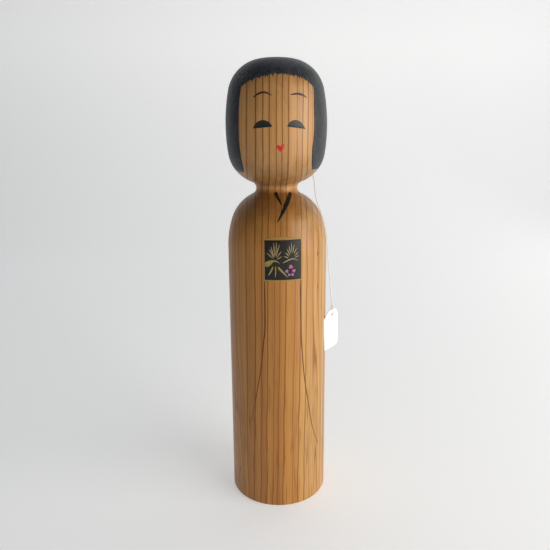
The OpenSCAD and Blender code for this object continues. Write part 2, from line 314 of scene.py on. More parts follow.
def new_piece(name, bm, smooth_angle=40):
    """A mesh object from a bmesh, shaded smooth but for its sharp edges."""
    bmesh.ops.recalc_face_normals(bm, faces=bm.faces)
    mesh = bpy.data.meshes.new(name)
    bm.to_mesh(mesh)
    bm.free()
    mesh.shade_smooth()
    mesh.set_sharp_from_angle(angle=math.radians(smooth_angle))
    piece = bpy.data.objects.new(name, mesh)
    bpy.context.scene.collection.objects.link(piece)
    return piece


def thicken(piece, thickness, offset=-1):
    """Gives a sheet its thickness: inwards with offset -1, and to both sides with 0."""
    solid = piece.modifiers.new("Thickness", "SOLIDIFY")
    solid.thickness = thickness
    solid.offset = offset


def hand_over(piece, body, nodes, material):
    """Gives a piece its material, hangs it on its body and hides the CAD nodes that it stands for."""
    piece.data.materials.append(material)
    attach(piece, body)
    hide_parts(*nodes)
    return piece


def lathe(name, points, columns=224):
    """A turned solid from points (radius, height) that start and end on the axis."""
    bm = bmesh.new()
    rings = []
    for point in points:
        if point.x < 1e-7:
            rings.append([bm.verts.new((0, 0, point.y))])
            continue
        angles = [2 * math.pi * i / columns for i in range(columns)]
        places = [(point.x * math.sin(a), -point.x * math.cos(a), point.y) for a in angles]
        rings.append([bm.verts.new(place) for place in places])
    for low, high in zip(rings, rings[1:]):
        for i in range(columns):
            j = (i + 1) % columns
            quad = [low[i % len(low)], low[j % len(low)], high[j % len(high)], high[i % len(high)]]
            bm.faces.new(list(dict.fromkeys(quad)))
    return new_piece(name, bm)


def on_surface(outline, across, height, lift):
    """The point that lies at (across, height) as seen from the front, lifted off the wood."""
    here, out = outline.at_height(height)
    across = max(-here.x, min(here.x, across))
    turn = math.asin(across / here.x)
    radius = here.x + lift * out.x
    return (radius * math.sin(turn), -radius * math.cos(turn), here.y + lift * out.y)


# How deep a coat's underside lies in the wood, so that no gap shows, and how much thinner its rim is.
ROOTED, RIM_THINNING = 0.04 * MM, 0.7


def film(name, outline, sheets, lift, sunk):
    """Coats of paint on turned wood that thin out at the rim. Each sheet is a grid of front-view points and
    its shape: open has a rim all round, a band's rows close on themselves, and a fan's rows close round its
    centre."""
    bm = bmesh.new()
    along = bm.verts.layers.float.new("along")
    side = bm.verts.layers.float.new("across")
    tone = bm.verts.layers.float.new("tone")
    for number, (rows, shape) in enumerate(sheets):
        last_row, last_place = len(rows) - 1, len(rows[0]) - 1
        rim_rows = (last_row,) if shape == "fan" else (0, last_row)
        rim_places = (0, last_place) if shape == "open" else ()
        faces_round = last_place if shape == "open" else last_place + 1
        grid = []
        for i, row in enumerate(rows):
            grid.append([])
            for j, (across, height) in enumerate(row):
                at_rim = i in rim_rows or j in rim_places
                top = lift - (RIM_THINNING * (lift - sunk) if at_rim else 0)
                vert = bm.verts.new(on_surface(outline, across, height, top))
                vert[along] = i / last_row
                vert[side] = j / last_place
                vert[tone] = (number * 0.618 + 0.3) % 1
                grid[i].append(vert)
        for low, high in zip(grid, grid[1:]):
            for j in range(faces_round):
                k = (j + 1) % len(low)
                bm.faces.new((low[j], low[k], high[k], high[j]))
    bmesh.ops.remove_doubles(bm, verts=bm.verts, dist=1e-7)
    piece = new_piece(name, bm, 60)
    thicken(piece, lift - sunk + ROOTED)
    return piece


def smooth_line(points, steps, closed=False):
    """Catmull-Rom points along a line through the given ones, in 2 or 3 dimensions."""
    knots = [Vector(p) for p in points]
    count = len(knots)
    spans = count if closed else count - 1
    line = []
    for i in range(spans):
        if closed:
            p0, p1, p2, p3 = (knots[(i + k) % count] for k in (-1, 0, 1, 2))
        else:
            p0, p1, p2, p3 = knots[max(i - 1, 0)], knots[i], knots[i + 1], knots[min(i + 2, count - 1)]
        for k in range(steps):
            t = k / steps
            bend = 2 * p0 - 5 * p1 + 4 * p2 - p3
            twist = 3 * p1 - p0 - 3 * p2 + p3
            line.append(0.5 * (2 * p1 + (p2 - p0) * t + bend * t * t + twist * t**3))
    if not closed:
        line.append(knots[-1])
    return line


def stroke(points, half_width, steps=8, across=6, ragged=0.0, seed=0):
    """A brush stroke: a band along a line of front-view points in millimetres. half_width gives the half
    width in millimetres at each share of the way, and ragged is how far the bristles stray."""
    line = smooth_line(points, steps)
    last = len(line) - 1
    rows = []
    for i, point in enumerate(line):
        along = (line[min(i + 1, last)] - line[max(i - 1, 0)]).normalized()
        sideways = Vector((-along.y, along.x))
        row = []
        for j in range(across + 1):
            share = 2 * j / across - 1
            stray = ragged * noise.noise(Vector((i * 0.45, math.copysign(3, share) + seed, 0.5))) * abs(share)
            place = point + sideways * (share * half_width(i / last) + stray)
            row.append((place.x * MM, place.y * MM))
        rows.append(row)
    return rows, "open"


def between(low_points, high_points, steps=8, rungs=10):
    """The area between a lower and an upper line of front-view points in millimetres."""
    low, high = smooth_line(low_points, steps), smooth_line(high_points, steps)
    count = 40
    rows = []
    for k in range(rungs + 1):
        row = []
        for i in range(count + 1):
            a = low[round(i / count * (len(low) - 1))]
            b = high[round(i / count * (len(high) - 1))]
            place = a.lerp(b, k / rungs)
            row.append((place.x * MM, place.y * MM))
        rows.append(row)
    return rows, "open"


def blob(centre, rim, rungs=8):
    """The area inside a closed line of front-view points in millimetres, as a fan from its centre."""
    middle = Vector(centre)
    rows = [[(middle.lerp(p, k / rungs) * MM)[:] for p in rim] for k in range(rungs + 1)]
    return rows, "fan"


# ---------------------------------------------------------------- materials


def output(source):
    """A socket as it is, a node's first output, or a value as it is."""
    return source.outputs[0] if isinstance(source, bpy.types.Node) else source


def add(tree, kind, inputs=None, **settings):
    """Adds a node. inputs maps a socket's name or number to a value, to the socket that feeds it, or to
    the node whose first output does."""
    node = tree.nodes.new(kind)
    for name, value in settings.items():
        setattr(node, name, value)
    for socket, source in (inputs or {}).items():
        source = output(source)
        if isinstance(source, bpy.types.NodeSocket):
            tree.links.new(source, node.inputs[socket])
        else:
            node.inputs[socket].default_value = source
    return node


def new_material(name, **shader):
    """A material with its Principled shader, and the values that are the same all over."""
    material = bpy.data.materials.new(name)
    material.use_nodes = True
    tree = material.node_tree
    surface = tree.nodes["Principled BSDF"]
    for socket, value in shader.items():
        surface.inputs[socket.replace("_", " ").title().replace("Ior", "IOR")].default_value = value
    return material, tree, surface


def feed(tree, surface, **sources):
    """Links what varies over a surface to the shader's own sockets."""
    for socket, source in sources.items():
        tree.links.new(output(source), surface.inputs[socket.replace("_", " ").title()])


# Where the growth lines cross the front at mid height, in millimetres from the axis, left to right.
GROWTH_LINES = (
    -48, -45.5, -42.6, -40, -37.8, -35.3, -32.4, -27.3, -20.9, -15.9, -11.4, -6.2, -2.1, 2.4,
    9.7, 14.6, 19.3, 25.3, 29.8, 33.6, 37, 40.5, 44.5, 48,
)  # fmt: skip
# How dark each of those lines is, from 0 to 1.
LINE_STRENGTHS = (
    0.6, 0.6, 0.5, 0.6, 0.6, 0.45, 0.55, 0.6, 0.95, 0.85, 0.9, 0.7, 0.8, 0.75,
    0.35, 0.8, 0.7, 0.6, 0.5, 0.6, 0.5, 0.6, 0.5, 0.6,
)  # fmt: skip
# Small knots, as (across, height, half width) in millimetres.
PIN_KNOTS = ((29.5, 214, 1.1), (29.8, 187, 0.8), (1.8, 336.6, 0.5))
# Swellings in the log that cut the rings into arches, as (across, top height, half width, depth at the
# foot) in millimetres.
SWELLINGS = ((29.5, 170, 3.2, 14), (5.5, 112, 3.6, 2.4), (-34, 150, 3.4, 9))
# The wood's irregularities, as (size across, size along the trunk, finer octaves, their roughness), the
# sizes in millimetres. Real fibres are a few hundredths wide and are drawn coarser so that they show.
WOOD_PATTERNS = {
    "sway of the rings": (45.45, 111.1, 2.0, 0.45),
    "ripple of the rings": (11.11, 23.81, 1.0, 0.5),
    "patchy lines": (8.333, 62.5, 2.0, 0.5),
    "resin flecks": (1.613, 29.41, 1.0, 0.5),
    "fibres": (0.6667, 45.45, 3.0, 0.5),
    "streaks": (2.381, 142.9, 2.0, 0.5),
    "clouds": (33.33, 33.33, 1.0, 0.5),
    "blush": (4.762, 285.7, 2.0, 0.5),
}
# Height at which the growth lines cross the front where GROWTH_LINES says, and the body's radius there, in
# millimetres.
MID_HEIGHT, SIDE_RADIUS = 152.0, 40.0


def varnished_conifer(name, early, sap, heart, late, knot):
    """Turned cedar under a clear satin varnish: quartered growth lines in front that open into arches at
    the sides, darker and denser late wood, fine fibre streaks and a soft coat that catches the window."""
    material, tree, surface = new_material(
        name, roughness=0.45, ior=1.45, specular_ior_level=0.4,
        coat_weight=0.1, coat_roughness=0.3, coat_ior=1.5,
    )
    place = add(tree, "ShaderNodeTexCoord").outputs["Object"]
    in_mm = add(tree, "ShaderNodeVectorMath", {0: place, "Scale": 1 / MM}, operation="SCALE")
    x, y, z = add(tree, "ShaderNodeSeparateXYZ", {0: in_mm}).outputs
    pattern = {}
    for key, (across, along, octaves, rough) in WOOD_PATTERNS.items():
        scale = (1 / (across * MM), 1 / (across * MM), 1 / (along * MM))
        stretched = add(tree, "ShaderNodeMapping", {"Vector": place, "Scale": scale})
        pattern[key] = add(
            tree, "ShaderNodeTexNoise",
            {"Vector": stretched, "Scale": 1.0, "Detail": octaves, "Roughness": rough},
        )

    # The rings lean to the right with height, less so on the right, and curve round a far-off pith.
    lean = add(
        tree, "ShaderNodeMapRange",
        {"Value": x, "From Min": 6.0, "From Max": 27.0, "To Min": 0.0175, "To Max": 0.001},
    )
    rise = add(tree, "ShaderNodeMath", {0: MID_HEIGHT, 1: z}, operation="SUBTRACT")
    depth = add(tree, "ShaderNodeMath", {0: rise, 1: lean, 2: x}, operation="MULTIPLY_ADD")
    y_squared = add(tree, "ShaderNodeMath", {0: y, 1: y}, operation="MULTIPLY")
    girth = add(tree, "ShaderNodeMath", {0: x, 1: x, 2: y_squared}, operation="MULTIPLY_ADD")
    curve = add(
        tree, "ShaderNodeMapRange",
        {"Value": girth, "From Max": SIDE_RADIUS**2, "To Min": -2.24, "To Max": 0.0},
        clamp=False,
    )
    sway = add(
        tree, "ShaderNodeMapRange", {"Value": pattern["sway of the rings"], "To Min": -1.6, "To Max": 1.6}
    )
    restless = add(
        tree, "ShaderNodeMapRange",
        {"Value": z, "From Min": 90.0, "From Max": 130.0, "To Min": 1.5, "To Max": 0.8},
    )
    ripple = add(tree, "ShaderNodeMath", {0: pattern["ripple of the rings"], 1: 0.5}, operation="SUBTRACT")
    ripple = add(tree, "ShaderNodeMath", {0: ripple, 1: restless}, operation="MULTIPLY")
    for shift in (curve, sway, ripple):
        depth = add(tree, "ShaderNodeMath", {0: depth, 1: shift}, operation="ADD")
    for across, height, width, deep in SWELLINGS:
        off = add(
            tree, "ShaderNodeMapRange", {"Value": x, "From Min": across, "From Max": across + width},
            clamp=False,
        )
        off_squared = add(tree, "ShaderNodeMath", {0: off, 1: off}, operation="MULTIPLY")
        hump = add(tree, "ShaderNodeMath", {0: math.exp(-1), 1: off_squared}, operation="POWER")
        below = add(
            tree, "ShaderNodeMapRange", {"Value": z, "From Max": height, "To Min": -deep, "To Max": 0.0}
        )
        depth = add(tree, "ShaderNodeMath", {0: hump, 1: below, 2: depth}, operation="MULTIPLY_ADD")

    # The lines bow round each pin knot, which shows as a small dark eye on the front.
    eyes = 0.0
    in_front = add(
        tree, "ShaderNodeMapRange",
        {"Value": y, "From Min": -24.0, "From Max": -20.0, "To Min": 1.0, "To Max": 0.0},
    )
    for across, height, size in PIN_KNOTS:
        beside = add(
            tree, "ShaderNodeMapRange", {"Value": x, "From Min": across, "From Max": across + size},
            clamp=False,
        )
        above = add(
            tree, "ShaderNodeMapRange", {"Value": z, "From Min": height, "From Max": height + 2.2 * size},
            clamp=False,
        )
        far = add(tree, "ShaderNodeMath", {0: above, 1: above, 2: 1.0}, operation="MULTIPLY_ADD")
        far = add(tree, "ShaderNodeMath", {0: beside, 1: beside, 2: far}, operation="MULTIPLY_ADD")
        near = add(tree, "ShaderNodeMath", {0: in_front, 1: far}, operation="DIVIDE")
        side = add(tree, "ShaderNodeMath", {0: beside}, operation="SIGN")
        bow = add(tree, "ShaderNodeMath", {0: near, 1: side}, operation="MULTIPLY")
        depth = add(tree, "ShaderNodeMath", {0: bow, 1: -0.9 * size, 2: depth}, operation="MULTIPLY_ADD")
        eye = add(
            tree, "ShaderNodeMapRange", {"Value": near, "From Min": 0.4, "From Max": 0.9},
            interpolation_type="SMOOTHSTEP",
        )
        eyes = add(tree, "ShaderNodeMath", {0: eyes, 1: eye}, operation="MAXIMUM")

    # Depth in the log to years of growth, and each year's own strength of line.
    first, last, count = GROWTH_LINES[0], GROWTH_LINES[-1], len(GROWTH_LINES) - 1
    share = add(
        tree, "ShaderNodeMapRange", {"Value": depth, "From Min": first, "From Max": last}, clamp=False
    )
    years = add(tree, "ShaderNodeFloatCurve", {"Value": share})
    own_year = add(tree, "ShaderNodeFloatCurve", {"Value": years})
    curves = (
        (years, [((line - first) / (last - first), i / count) for i, line in enumerate(GROWTH_LINES)]),
        (own_year, [(i / count, dark) for i, dark in enumerate(LINE_STRENGTHS)]),
    )
    for node, places in curves:
        points = node.mapping.curves[0].points
        points[0].location = places[0]
        points[-1].location = places[-1]
        for across, up in places[1:-1]:
            points.new(across, up)
        for point in points:
            point.handle_type = "VECTOR"
        node.mapping.update()
    year = add(tree, "ShaderNodeMath", {0: years, 1: count}, operation="MULTIPLY")
    to_line = add(tree, "ShaderNodeMath", {0: year, 1: 0.5}, operation="PINGPONG")
    line = add(
        tree, "ShaderNodeMapRange",
        {"Value": to_line, "From Min": 0.02, "From Max": 0.15, "To Min": 1.0, "To Max": 0.0},
        interpolation_type="SMOOTHSTEP",
    )
    # Fainter lines of false rings between the true ones, and a slow shading towards each late wood.
    third = add(tree, "ShaderNodeMath", {0: year, 1: 3.0}, operation="MULTIPLY")
    to_false = add(tree, "ShaderNodeMath", {0: third, 1: 0.5}, operation="PINGPONG")
    false_line = add(
        tree, "ShaderNodeMapRange", {"Value": to_false, "From Max": 0.3, "To Min": 0.36, "To Max": 0.0},
        interpolation_type="SMOOTHSTEP",
    )
    nearest = add(tree, "ShaderNodeMath", {0: third}, operation="ROUND")
    own_false = add(tree, "ShaderNodeTexWhiteNoise", {"W": nearest}, noise_dimensions="1D")
    part_year = add(tree, "ShaderNodeMath", {0: year}, operation="FRACT")
    shade = add(tree, "ShaderNodeMapRange", {"Value": part_year, "From Min": 0.55, "To Max": 0.16})
    shade = add(tree, "ShaderNodeMath", {0: false_line, 1: own_false, 2: shade}, operation="MULTIPLY_ADD")
    patchy = add(tree, "ShaderNodeMath", {0: pattern["patchy lines"], 1: 0.5}, operation="ADD")
    strength = add(tree, "ShaderNodeMath", {0: own_year, 1: patchy}, operation="MULTIPLY")
    dark = add(
        tree, "ShaderNodeMath", {0: line, 1: strength, 2: shade}, operation="MULTIPLY_ADD", use_clamp=True
    )
    # Short resin flecks, most of them near the foot.
    fleck = add(
        tree, "ShaderNodeMapRange",
        {"Value": pattern["resin flecks"], "From Min": 0.56, "From Max": 0.74, "To Max": 0.6},
    )
    low = add(
        tree, "ShaderNodeMapRange",
        {"Value": z, "From Min": 70.0, "From Max": 150.0, "To Min": 1.0, "To Max": 0.3},
    )
    dark = add(
        tree, "ShaderNodeMath", {0: fleck, 1: low, 2: dark}, operation="MULTIPLY_ADD", use_clamp=True
    )

    # How bright the wood is: each pattern sways it by half its weight to either side.
    this_year = add(tree, "ShaderNodeMath", {0: year}, operation="FLOOR")
    band = add(tree, "ShaderNodeTexWhiteNoise", {"W": this_year}, noise_dimensions="1D")
    weights = ((pattern["fibres"], 0.3), (pattern["streaks"], 0.5), (pattern["clouds"], 0.15), (band, 0.16))
    bright = 1 - sum(weight for _, weight in weights) / 2
    for source, weight in weights:
        bright = add(tree, "ShaderNodeMath", {0: source, 1: weight, 2: bright}, operation="MULTIPLY_ADD")
    # The shoulder and chin are end grain that drinks varnish, and painted shade under the head darkens them
    # too.
    normal = add(tree, "ShaderNodeNewGeometry").outputs["Normal"]
    facing = add(tree, "ShaderNodeSeparateXYZ", {0: normal}).outputs["Z"]
    cut_across = add(tree, "ShaderNodeMath", {0: facing}, operation="ABSOLUTE")
    end_grain_and_shade = add(
        tree, "ShaderNodeMapRange",
        {"Value": cut_across, "From Min": 0.05, "From Max": 0.62, "To Min": 1.0, "To Max": 0.66},
    )
    bright = add(tree, "ShaderNodeMath", {0: bright, 1: end_grain_and_shade}, operation="MULTIPLY")

    # Colour: paler towards the bark, redder in streaks, then the late wood and the knots.
    to_bark = add(
        tree, "ShaderNodeMapRange", {"Value": depth, "From Min": 2.0, "From Max": 26.0},
        interpolation_type="SMOOTHSTEP",
    )
    blush = add(
        tree, "ShaderNodeMapRange",
        {"Value": pattern["blush"], "From Min": 0.38, "From Max": 0.72, "To Max": 0.75},
    )
    wood = early
    for share, tone in ((to_bark, sap), (blush, heart), (dark, late), (eyes, knot)):
        wood = add(tree, "ShaderNodeMix", {0: share, 6: wood, 7: tone}, data_type="RGBA").outputs[2]
    wood = add(tree, "ShaderNodeHueSaturation", {"Value": bright, "Color": wood})

    gloss = add(tree, "ShaderNodeMapRange", {"Value": pattern["fibres"], "To Min": 0.36, "To Max": 0.46})
    late_relief = add(tree, "ShaderNodeMath", {0: dark, 1: 0.2}, operation="MULTIPLY")
    relief = add(
        tree, "ShaderNodeMath", {0: pattern["fibres"], 1: 0.6, 2: late_relief}, operation="MULTIPLY_ADD"
    )
    bump = add(tree, "ShaderNodeBump", {"Strength": 0.35, "Distance": 0.05 * MM, "Height": relief})
    feed(tree, surface, base_color=wood, roughness=gloss, normal=bump)
    return material


# Where the crown has knocked against a shelf, how far the scratches spread, and the heights over which a
# painted sheen comes in on top of the crown, all in metres.
KNOCKED_AT, KNOCK_REACH = (-0.0255, -0.021, 0.3462), 0.011
SHEEN_FROM, SHEEN_TO = 0.347, 0.3595


def brushed_lacquer(name, black, rubbed_and_sheen, streak_mm, scuffed_and_sheened):
    """Black lacquer laid on with a coarse brush: a half-gloss film with combed streaks that break up the
    window's sheen, pale mottling, pale scratches where a shelf has knocked the crown, and a painted sheen in
    pale patches round the top of the crown."""
    material, tree, surface = new_material(name, roughness=0.45, ior=1.45, specular_ior_level=0.4)
    place = add(tree, "ShaderNodeTexCoord").outputs["Object"]
    x, y, z = add(tree, "ShaderNodeSeparateXYZ", {0: place}).outputs
    # Streaks are streak_mm apart where the wood's radius is 39 mm, and about 22 mm long.
    turn = add(tree, "ShaderNodeMath", {0: x, 1: y}, operation="ARCTAN2")
    turn = add(tree, "ShaderNodeMath", {0: turn, 1: 39.0 / streak_mm}, operation="MULTIPLY")
    down = add(tree, "ShaderNodeMath", {0: z, 1: 1 / (22.22 * MM)}, operation="MULTIPLY")
    combed = add(tree, "ShaderNodeCombineXYZ", {0: turn, 1: down})
    streaks = add(tree, "ShaderNodeTexNoise", {"Vector": combed, "Scale": 1.0, "Detail": 3.0})
    blotch = add(
        tree, "ShaderNodeTexNoise",
        {"Vector": place, "Scale": 1 / (3.846 * MM), "Detail": 4.0, "Roughness": 0.7},
    )
    # Painted sheen: towards the top of the crown the black turns pale in patches, a painted reflection of the
    # bright room.
    ring = add(
        tree, "ShaderNodeMapRange", {"Value": z, "From Min": SHEEN_FROM, "From Max": SHEEN_TO},
        interpolation_type="SMOOTHSTEP",
    )
    sheen_specks = add(
        tree, "ShaderNodeMapRange",
        {"Value": blotch, "From Min": 0.4, "From Max": 0.75, "To Min": 0.6 * scuffed_and_sheened, "To Max": scuffed_and_sheened},
    )
    thin = add(
        tree, "ShaderNodeMapRange",
        {"Value": blotch, "From Min": 0.45, "From Max": 0.8, "To Max": 0.3 * scuffed_and_sheened},
    )
    # Painted sheen on top of the crown, plus pale mottling all over.
    wear_and_sheen = add(
        tree, "ShaderNodeMath", {0: ring, 1: sheen_specks, 2: thin}, operation="MULTIPLY_ADD", use_clamp=True
    )
    knock = add(tree, "ShaderNodeVectorMath", {0: place, 1: KNOCKED_AT}, operation="DISTANCE")
    knock = add(
        tree, "ShaderNodeMapRange",
        {"Value": knock.outputs["Value"], "From Max": KNOCK_REACH, "To Min": 2.2 * scuffed_and_sheened, "To Max": 0.0},
    )
    nick = add(tree, "ShaderNodeTexNoise", {"Vector": place, "Scale": 1 / (1.613 * MM), "Detail": 2.0})
    nick = add(tree, "ShaderNodeMapRange", {"Value": nick, "From Min": 0.5, "From Max": 0.66})
    scratched = add(tree, "ShaderNodeMath", {0: knock, 1: nick}, operation="MULTIPLY")
    wear_and_sheen = add(tree, "ShaderNodeMath", {0: wear_and_sheen, 1: scratched}, operation="MAXIMUM")
    base = add(tree, "ShaderNodeMix", {0: wear_and_sheen, 6: black, 7: rubbed_and_sheen}, data_type="RGBA").outputs[2]
    tint, gloss = (
        add(
            tree, "ShaderNodeMapRange",
            {"Value": streaks, "From Min": 0.3, "From Max": 0.7, "To Min": least, "To Max": most},
        )
        for least, most in ((0.7, 1.35), (0.38, 0.54))
    )
    base = add(tree, "ShaderNodeHueSaturation", {"Value": tint, "Color": base})
    bump = add(tree, "ShaderNodeBump", {"Strength": 0.5, "Distance": 0.06 * MM, "Height": streaks})
    feed(tree, surface, base_color=base, roughness=gloss, normal=bump)
    return material


def brushed_paint(name, thick, thin, roughness=0.42):
    """Poster paint from a small brush: solid where the brush was loaded and thinner towards the end of
    each stroke, with faint bristle lines, under the same varnish as the wood."""
    material, tree, surface = new_material(name, roughness=roughness, ior=1.45, specular_ior_level=0.35)
    place = add(tree, "ShaderNodeTexCoord").outputs["Object"]
    across, along, tone = (
        add(tree, "ShaderNodeAttribute", attribute_name=key).outputs["Fac"]
        for key in ("across", "along", "tone")
    )
    # Nine bristle marks across a stroke, and new ones for each stroke.
    hairs = add(tree, "ShaderNodeCombineXYZ", {0: across, 1: along, 2: tone})
    hairs = add(tree, "ShaderNodeMapping", {"Vector": hairs, "Scale": (9.0, 2.5, 20.0)})
    bristle = add(tree, "ShaderNodeTexNoise", {"Vector": hairs, "Scale": 1.0, "Detail": 2.0})
    dry = add(tree, "ShaderNodeMath", {0: along, 1: 0.55, 2: bristle}, operation="MULTIPLY_ADD")
    dry = add(
        tree, "ShaderNodeMapRange", {"Value": dry, "From Min": 0.45, "From Max": 1.15},
        interpolation_type="SMOOTHSTEP",
    )
    base = add(tree, "ShaderNodeMix", {0: dry, 6: thick, 7: thin}, data_type="RGBA").outputs[2]
    grit = add(tree, "ShaderNodeTexNoise", {"Vector": place, "Scale": 1 / (1.111 * MM), "Detail": 2.0})
    value = add(
        tree, "ShaderNodeMapRange",
        {"Value": grit, "From Min": 0.3, "From Max": 0.7, "To Min": 0.86, "To Max": 1.12},
    )
    base = add(tree, "ShaderNodeHueSaturation", {"Value": value, "Color": base})
    bump = add(tree, "ShaderNodeBump", {"Strength": 0.3, "Distance": 0.04 * MM, "Height": bristle})
    feed(tree, surface, base_color=base, normal=bump)
    return material


def petal_paint(name, lilac, pink):
    """Poster paint mixed on the brush, so each petal has its own share of lilac and pink."""
    material, tree, surface = new_material(
        name, roughness=0.45, ior=1.5, coat_weight=0.2, coat_roughness=0.3
    )
    place = add(tree, "ShaderNodeTexCoord").outputs["Object"]
    tone = add(tree, "ShaderNodeAttribute", attribute_name="tone").outputs["Fac"]
    swirl = add(tree, "ShaderNodeTexNoise", {"Vector": place, "Scale": 1 / (1.429 * MM), "Detail": 2.0})
    mixed = add(tree, "ShaderNodeMath", {0: swirl, 1: 0.8, 2: tone}, operation="MULTIPLY_ADD")
    share = add(tree, "ShaderNodeMapRange", {"Value": mixed, "From Min": 0.45, "From Max": 1.3})
    base = add(tree, "ShaderNodeMix", {0: share, 6: lilac, 7: pink}, data_type="RGBA").outputs[2]
    bump = add(tree, "ShaderNodeBump", {"Strength": 0.3, "Distance": 0.04 * MM, "Height": swirl})
    feed(tree, surface, base_color=base, normal=bump)
    return material


def spun_cotton(name, cotton):
    """Two-ply cotton: matt, with a fuzz of short fibres that softens its edge."""
    material, tree, surface = new_material(
        name, roughness=0.9, ior=1.5, sheen_weight=0.5, sheen_roughness=0.5, specular_ior_level=0.25
    )
    place = add(tree, "ShaderNodeTexCoord").outputs["Object"]
    fuzz = add(tree, "ShaderNodeTexNoise", {"Vector": place, "Scale": 1 / (0.25 * MM), "Detail": 3.0})
    value = add(
        tree, "ShaderNodeMapRange",
        {"Value": fuzz, "From Min": 0.3, "From Max": 0.7, "To Min": 0.9, "To Max": 1.05},
    )
    base = add(tree, "ShaderNodeHueSaturation", {"Value": value, "Color": cotton})
    bump = add(tree, "ShaderNodeBump", {"Strength": 0.2, "Distance": 0.02 * MM, "Height": fuzz})
    feed(tree, surface, base_color=base, normal=bump)
    return material


def ticket_card(name, card):
    """Uncoated white board: matt, with a faint pulp mottle."""
    material, tree, surface = new_material(name, roughness=0.75, ior=1.5, specular_ior_level=0.3)
    place = add(tree, "ShaderNodeTexCoord").outputs["Object"]
    pulp = add(tree, "ShaderNodeTexNoise", {"Vector": place, "Scale": 1 / (0.7143 * MM), "Detail": 4.0})
    value = add(
        tree, "ShaderNodeMapRange",
        {"Value": pulp, "From Min": 0.3, "From Max": 0.7, "To Min": 0.97, "To Max": 1.02},
    )
    base = add(tree, "ShaderNodeHueSaturation", {"Value": value, "Color": card})
    bump = add(tree, "ShaderNodeBump", {"Strength": 0.2, "Distance": 0.03 * MM, "Height": pulp})
    feed(tree, surface, base_color=base, normal=bump)
    return material


def seamless_floor(name, pale):
    """Matt paper sweep, a shade off white, that glows a little more towards the window's side."""
    material, tree, surface = new_material(
        name, base_color=pale, roughness=0.85, specular_ior_level=0.2, emission_strength=0.43
    )
    place = add(tree, "ShaderNodeTexCoord").outputs["Object"]
    aside = add(tree, "ShaderNodeSeparateXYZ", {0: place}).outputs["X"]
    share = add(
        tree, "ShaderNodeMapRange",
        {"Value": aside, "From Min": -0.9, "From Max": 0.9, "To Min": 0.92, "To Max": 1.3},
    )
    glow = add(tree, "ShaderNodeHueSaturation", {"Value": share, "Color": pale})
    feed(tree, surface, emission_color=glow)
    return material


# ---------------------------------------------------------------- the stage


# The windows, as (name, degrees round from the front, distance, height, width, how tall, power), in metres
# and watts. Each faces the doll's middle.
WINDOWS = (
    ("window", 56, 1.35, 0.42, 1.3, 0.84, 17.1),
    ("far_window", 118, 1.2, 0.6, 0.8, 1.0, 1.6),
)
DOLL_MIDDLE = 0.16
ROOM_STRENGTH = 0.17


class KOKESHI_OT_stage(bpy.types.Operator):
    """Camera, soft window light and a seamless pale floor"""

    bl_idname = "kokeshi.stage"
    bl_label = "Stage"

    def execute(self, context):
        studio = context.scene.kokeshi_studio
        lens = bpy.data.cameras.new("camera")
        lens.lens = studio.focal_length
        lens.sensor_width = 36
        lens.clip_start = 0.01
        camera = bpy.data.objects.new("camera", lens)
        context.scene.collection.objects.link(camera)
        context.scene.camera = camera
        camera.location = (
            -studio.distance * math.sin(studio.turn), -studio.distance * math.cos(studio.turn), studio.height
        )
        # The doll stands a touch right of the middle and leans a hair to the left in the frame.
        aim = Matrix.Rotation(studio.aside - studio.turn, 3, "Z")
        tilt = Matrix.Rotation(math.pi / 2 - studio.pitch, 3, "X")
        roll = Matrix.Rotation(studio.roll, 3, "Z")
        camera.rotation_euler = (aim @ tilt @ roll).to_euler()

        for window in WINDOWS:
            self.window(context, studio, *window)
        self.floor(context, studio)
        world = bpy.data.worlds.new("room")
        world.use_nodes = True
        background = world.node_tree.nodes["Background"]
        background.inputs["Color"].default_value = studio.room
        background.inputs["Strength"].default_value = ROOM_STRENGTH
        context.scene.world = world
        context.scene.view_settings.view_transform = "Standard"
        return {"FINISHED"}

    def window(self, context, studio, name, bearing, reach, height, width, tall, power):
        """A window that lights the doll softly from one side."""
        light = bpy.data.lights.new(name, "AREA")
        light.shape = "RECTANGLE"
        light.size = width
        light.size_y = tall
        light.energy = power
        light.color = studio.window[:3]
        lamp = bpy.data.objects.new(name, light)
        context.scene.collection.objects.link(lamp)
        around = math.radians(bearing)
        lamp.location = (reach * math.sin(around), -reach * math.cos(around), height)
        aim = Vector((0, 0, DOLL_MIDDLE)) - lamp.location
        lamp.rotation_euler = aim.to_track_quat("-Z", "Y").to_euler()

    def floor(self, context, studio):
        """Floor, sweep and back wall as one sheet."""
        near, back, sweep, top, half = -1.6, 1.5, 0.6, 2.2, 2.4
        line = [Vector((near, 0)), Vector((back - sweep, 0))]
        line += arc(Vector((back - sweep, sweep)), sweep, DOWN, RIGHT, math.radians(5))[1:]
        line.append(Vector((back, top)))
        bm = bmesh.new()
        pairs = [(bm.verts.new((-half, p.x, p.y)), bm.verts.new((half, p.x, p.y))) for p in line]
        for (a, b), (c, d) in zip(pairs, pairs[1:]):
            bm.faces.new((a, b, d, c))
        sheet = new_piece("floor", bm)
        sheet.data.materials.append(seamless_floor("paper_sweep", studio.floor))


# ---------------------------------------------------------------- thread and swing tag

# The thread leaves the shoulder here, and its hanging stretch swings about this point, in millimetres.
SWING_AT = (39.3, -6.3, 228.3)
# From the shoulder up past the chin, round behind the neck and down on to the back of the other shoulder.
NECK_ROUTE = (
    SWING_AT, (38.95, -6.15, 229.3), (37.8, -5.4, 235.5), (35.2, -4.4, 243.2), (33.2, -3, 248.6),
    (31.6, -0.8, 254.4), (31.2, 3, 262), (31.2, 8.5, 268.6), (29.8, 15.5, 273.2),
    (26, 22.8, 274.8), (20, 28.6, 272.8), (12.6, 31.6, 267.6), (5.6, 31.8, 260.8),
    (-1.6, 31, 254.4), (-8.4, 31.4, 249), (-14.4, 32.4, 244.4),
)  # fmt: skip
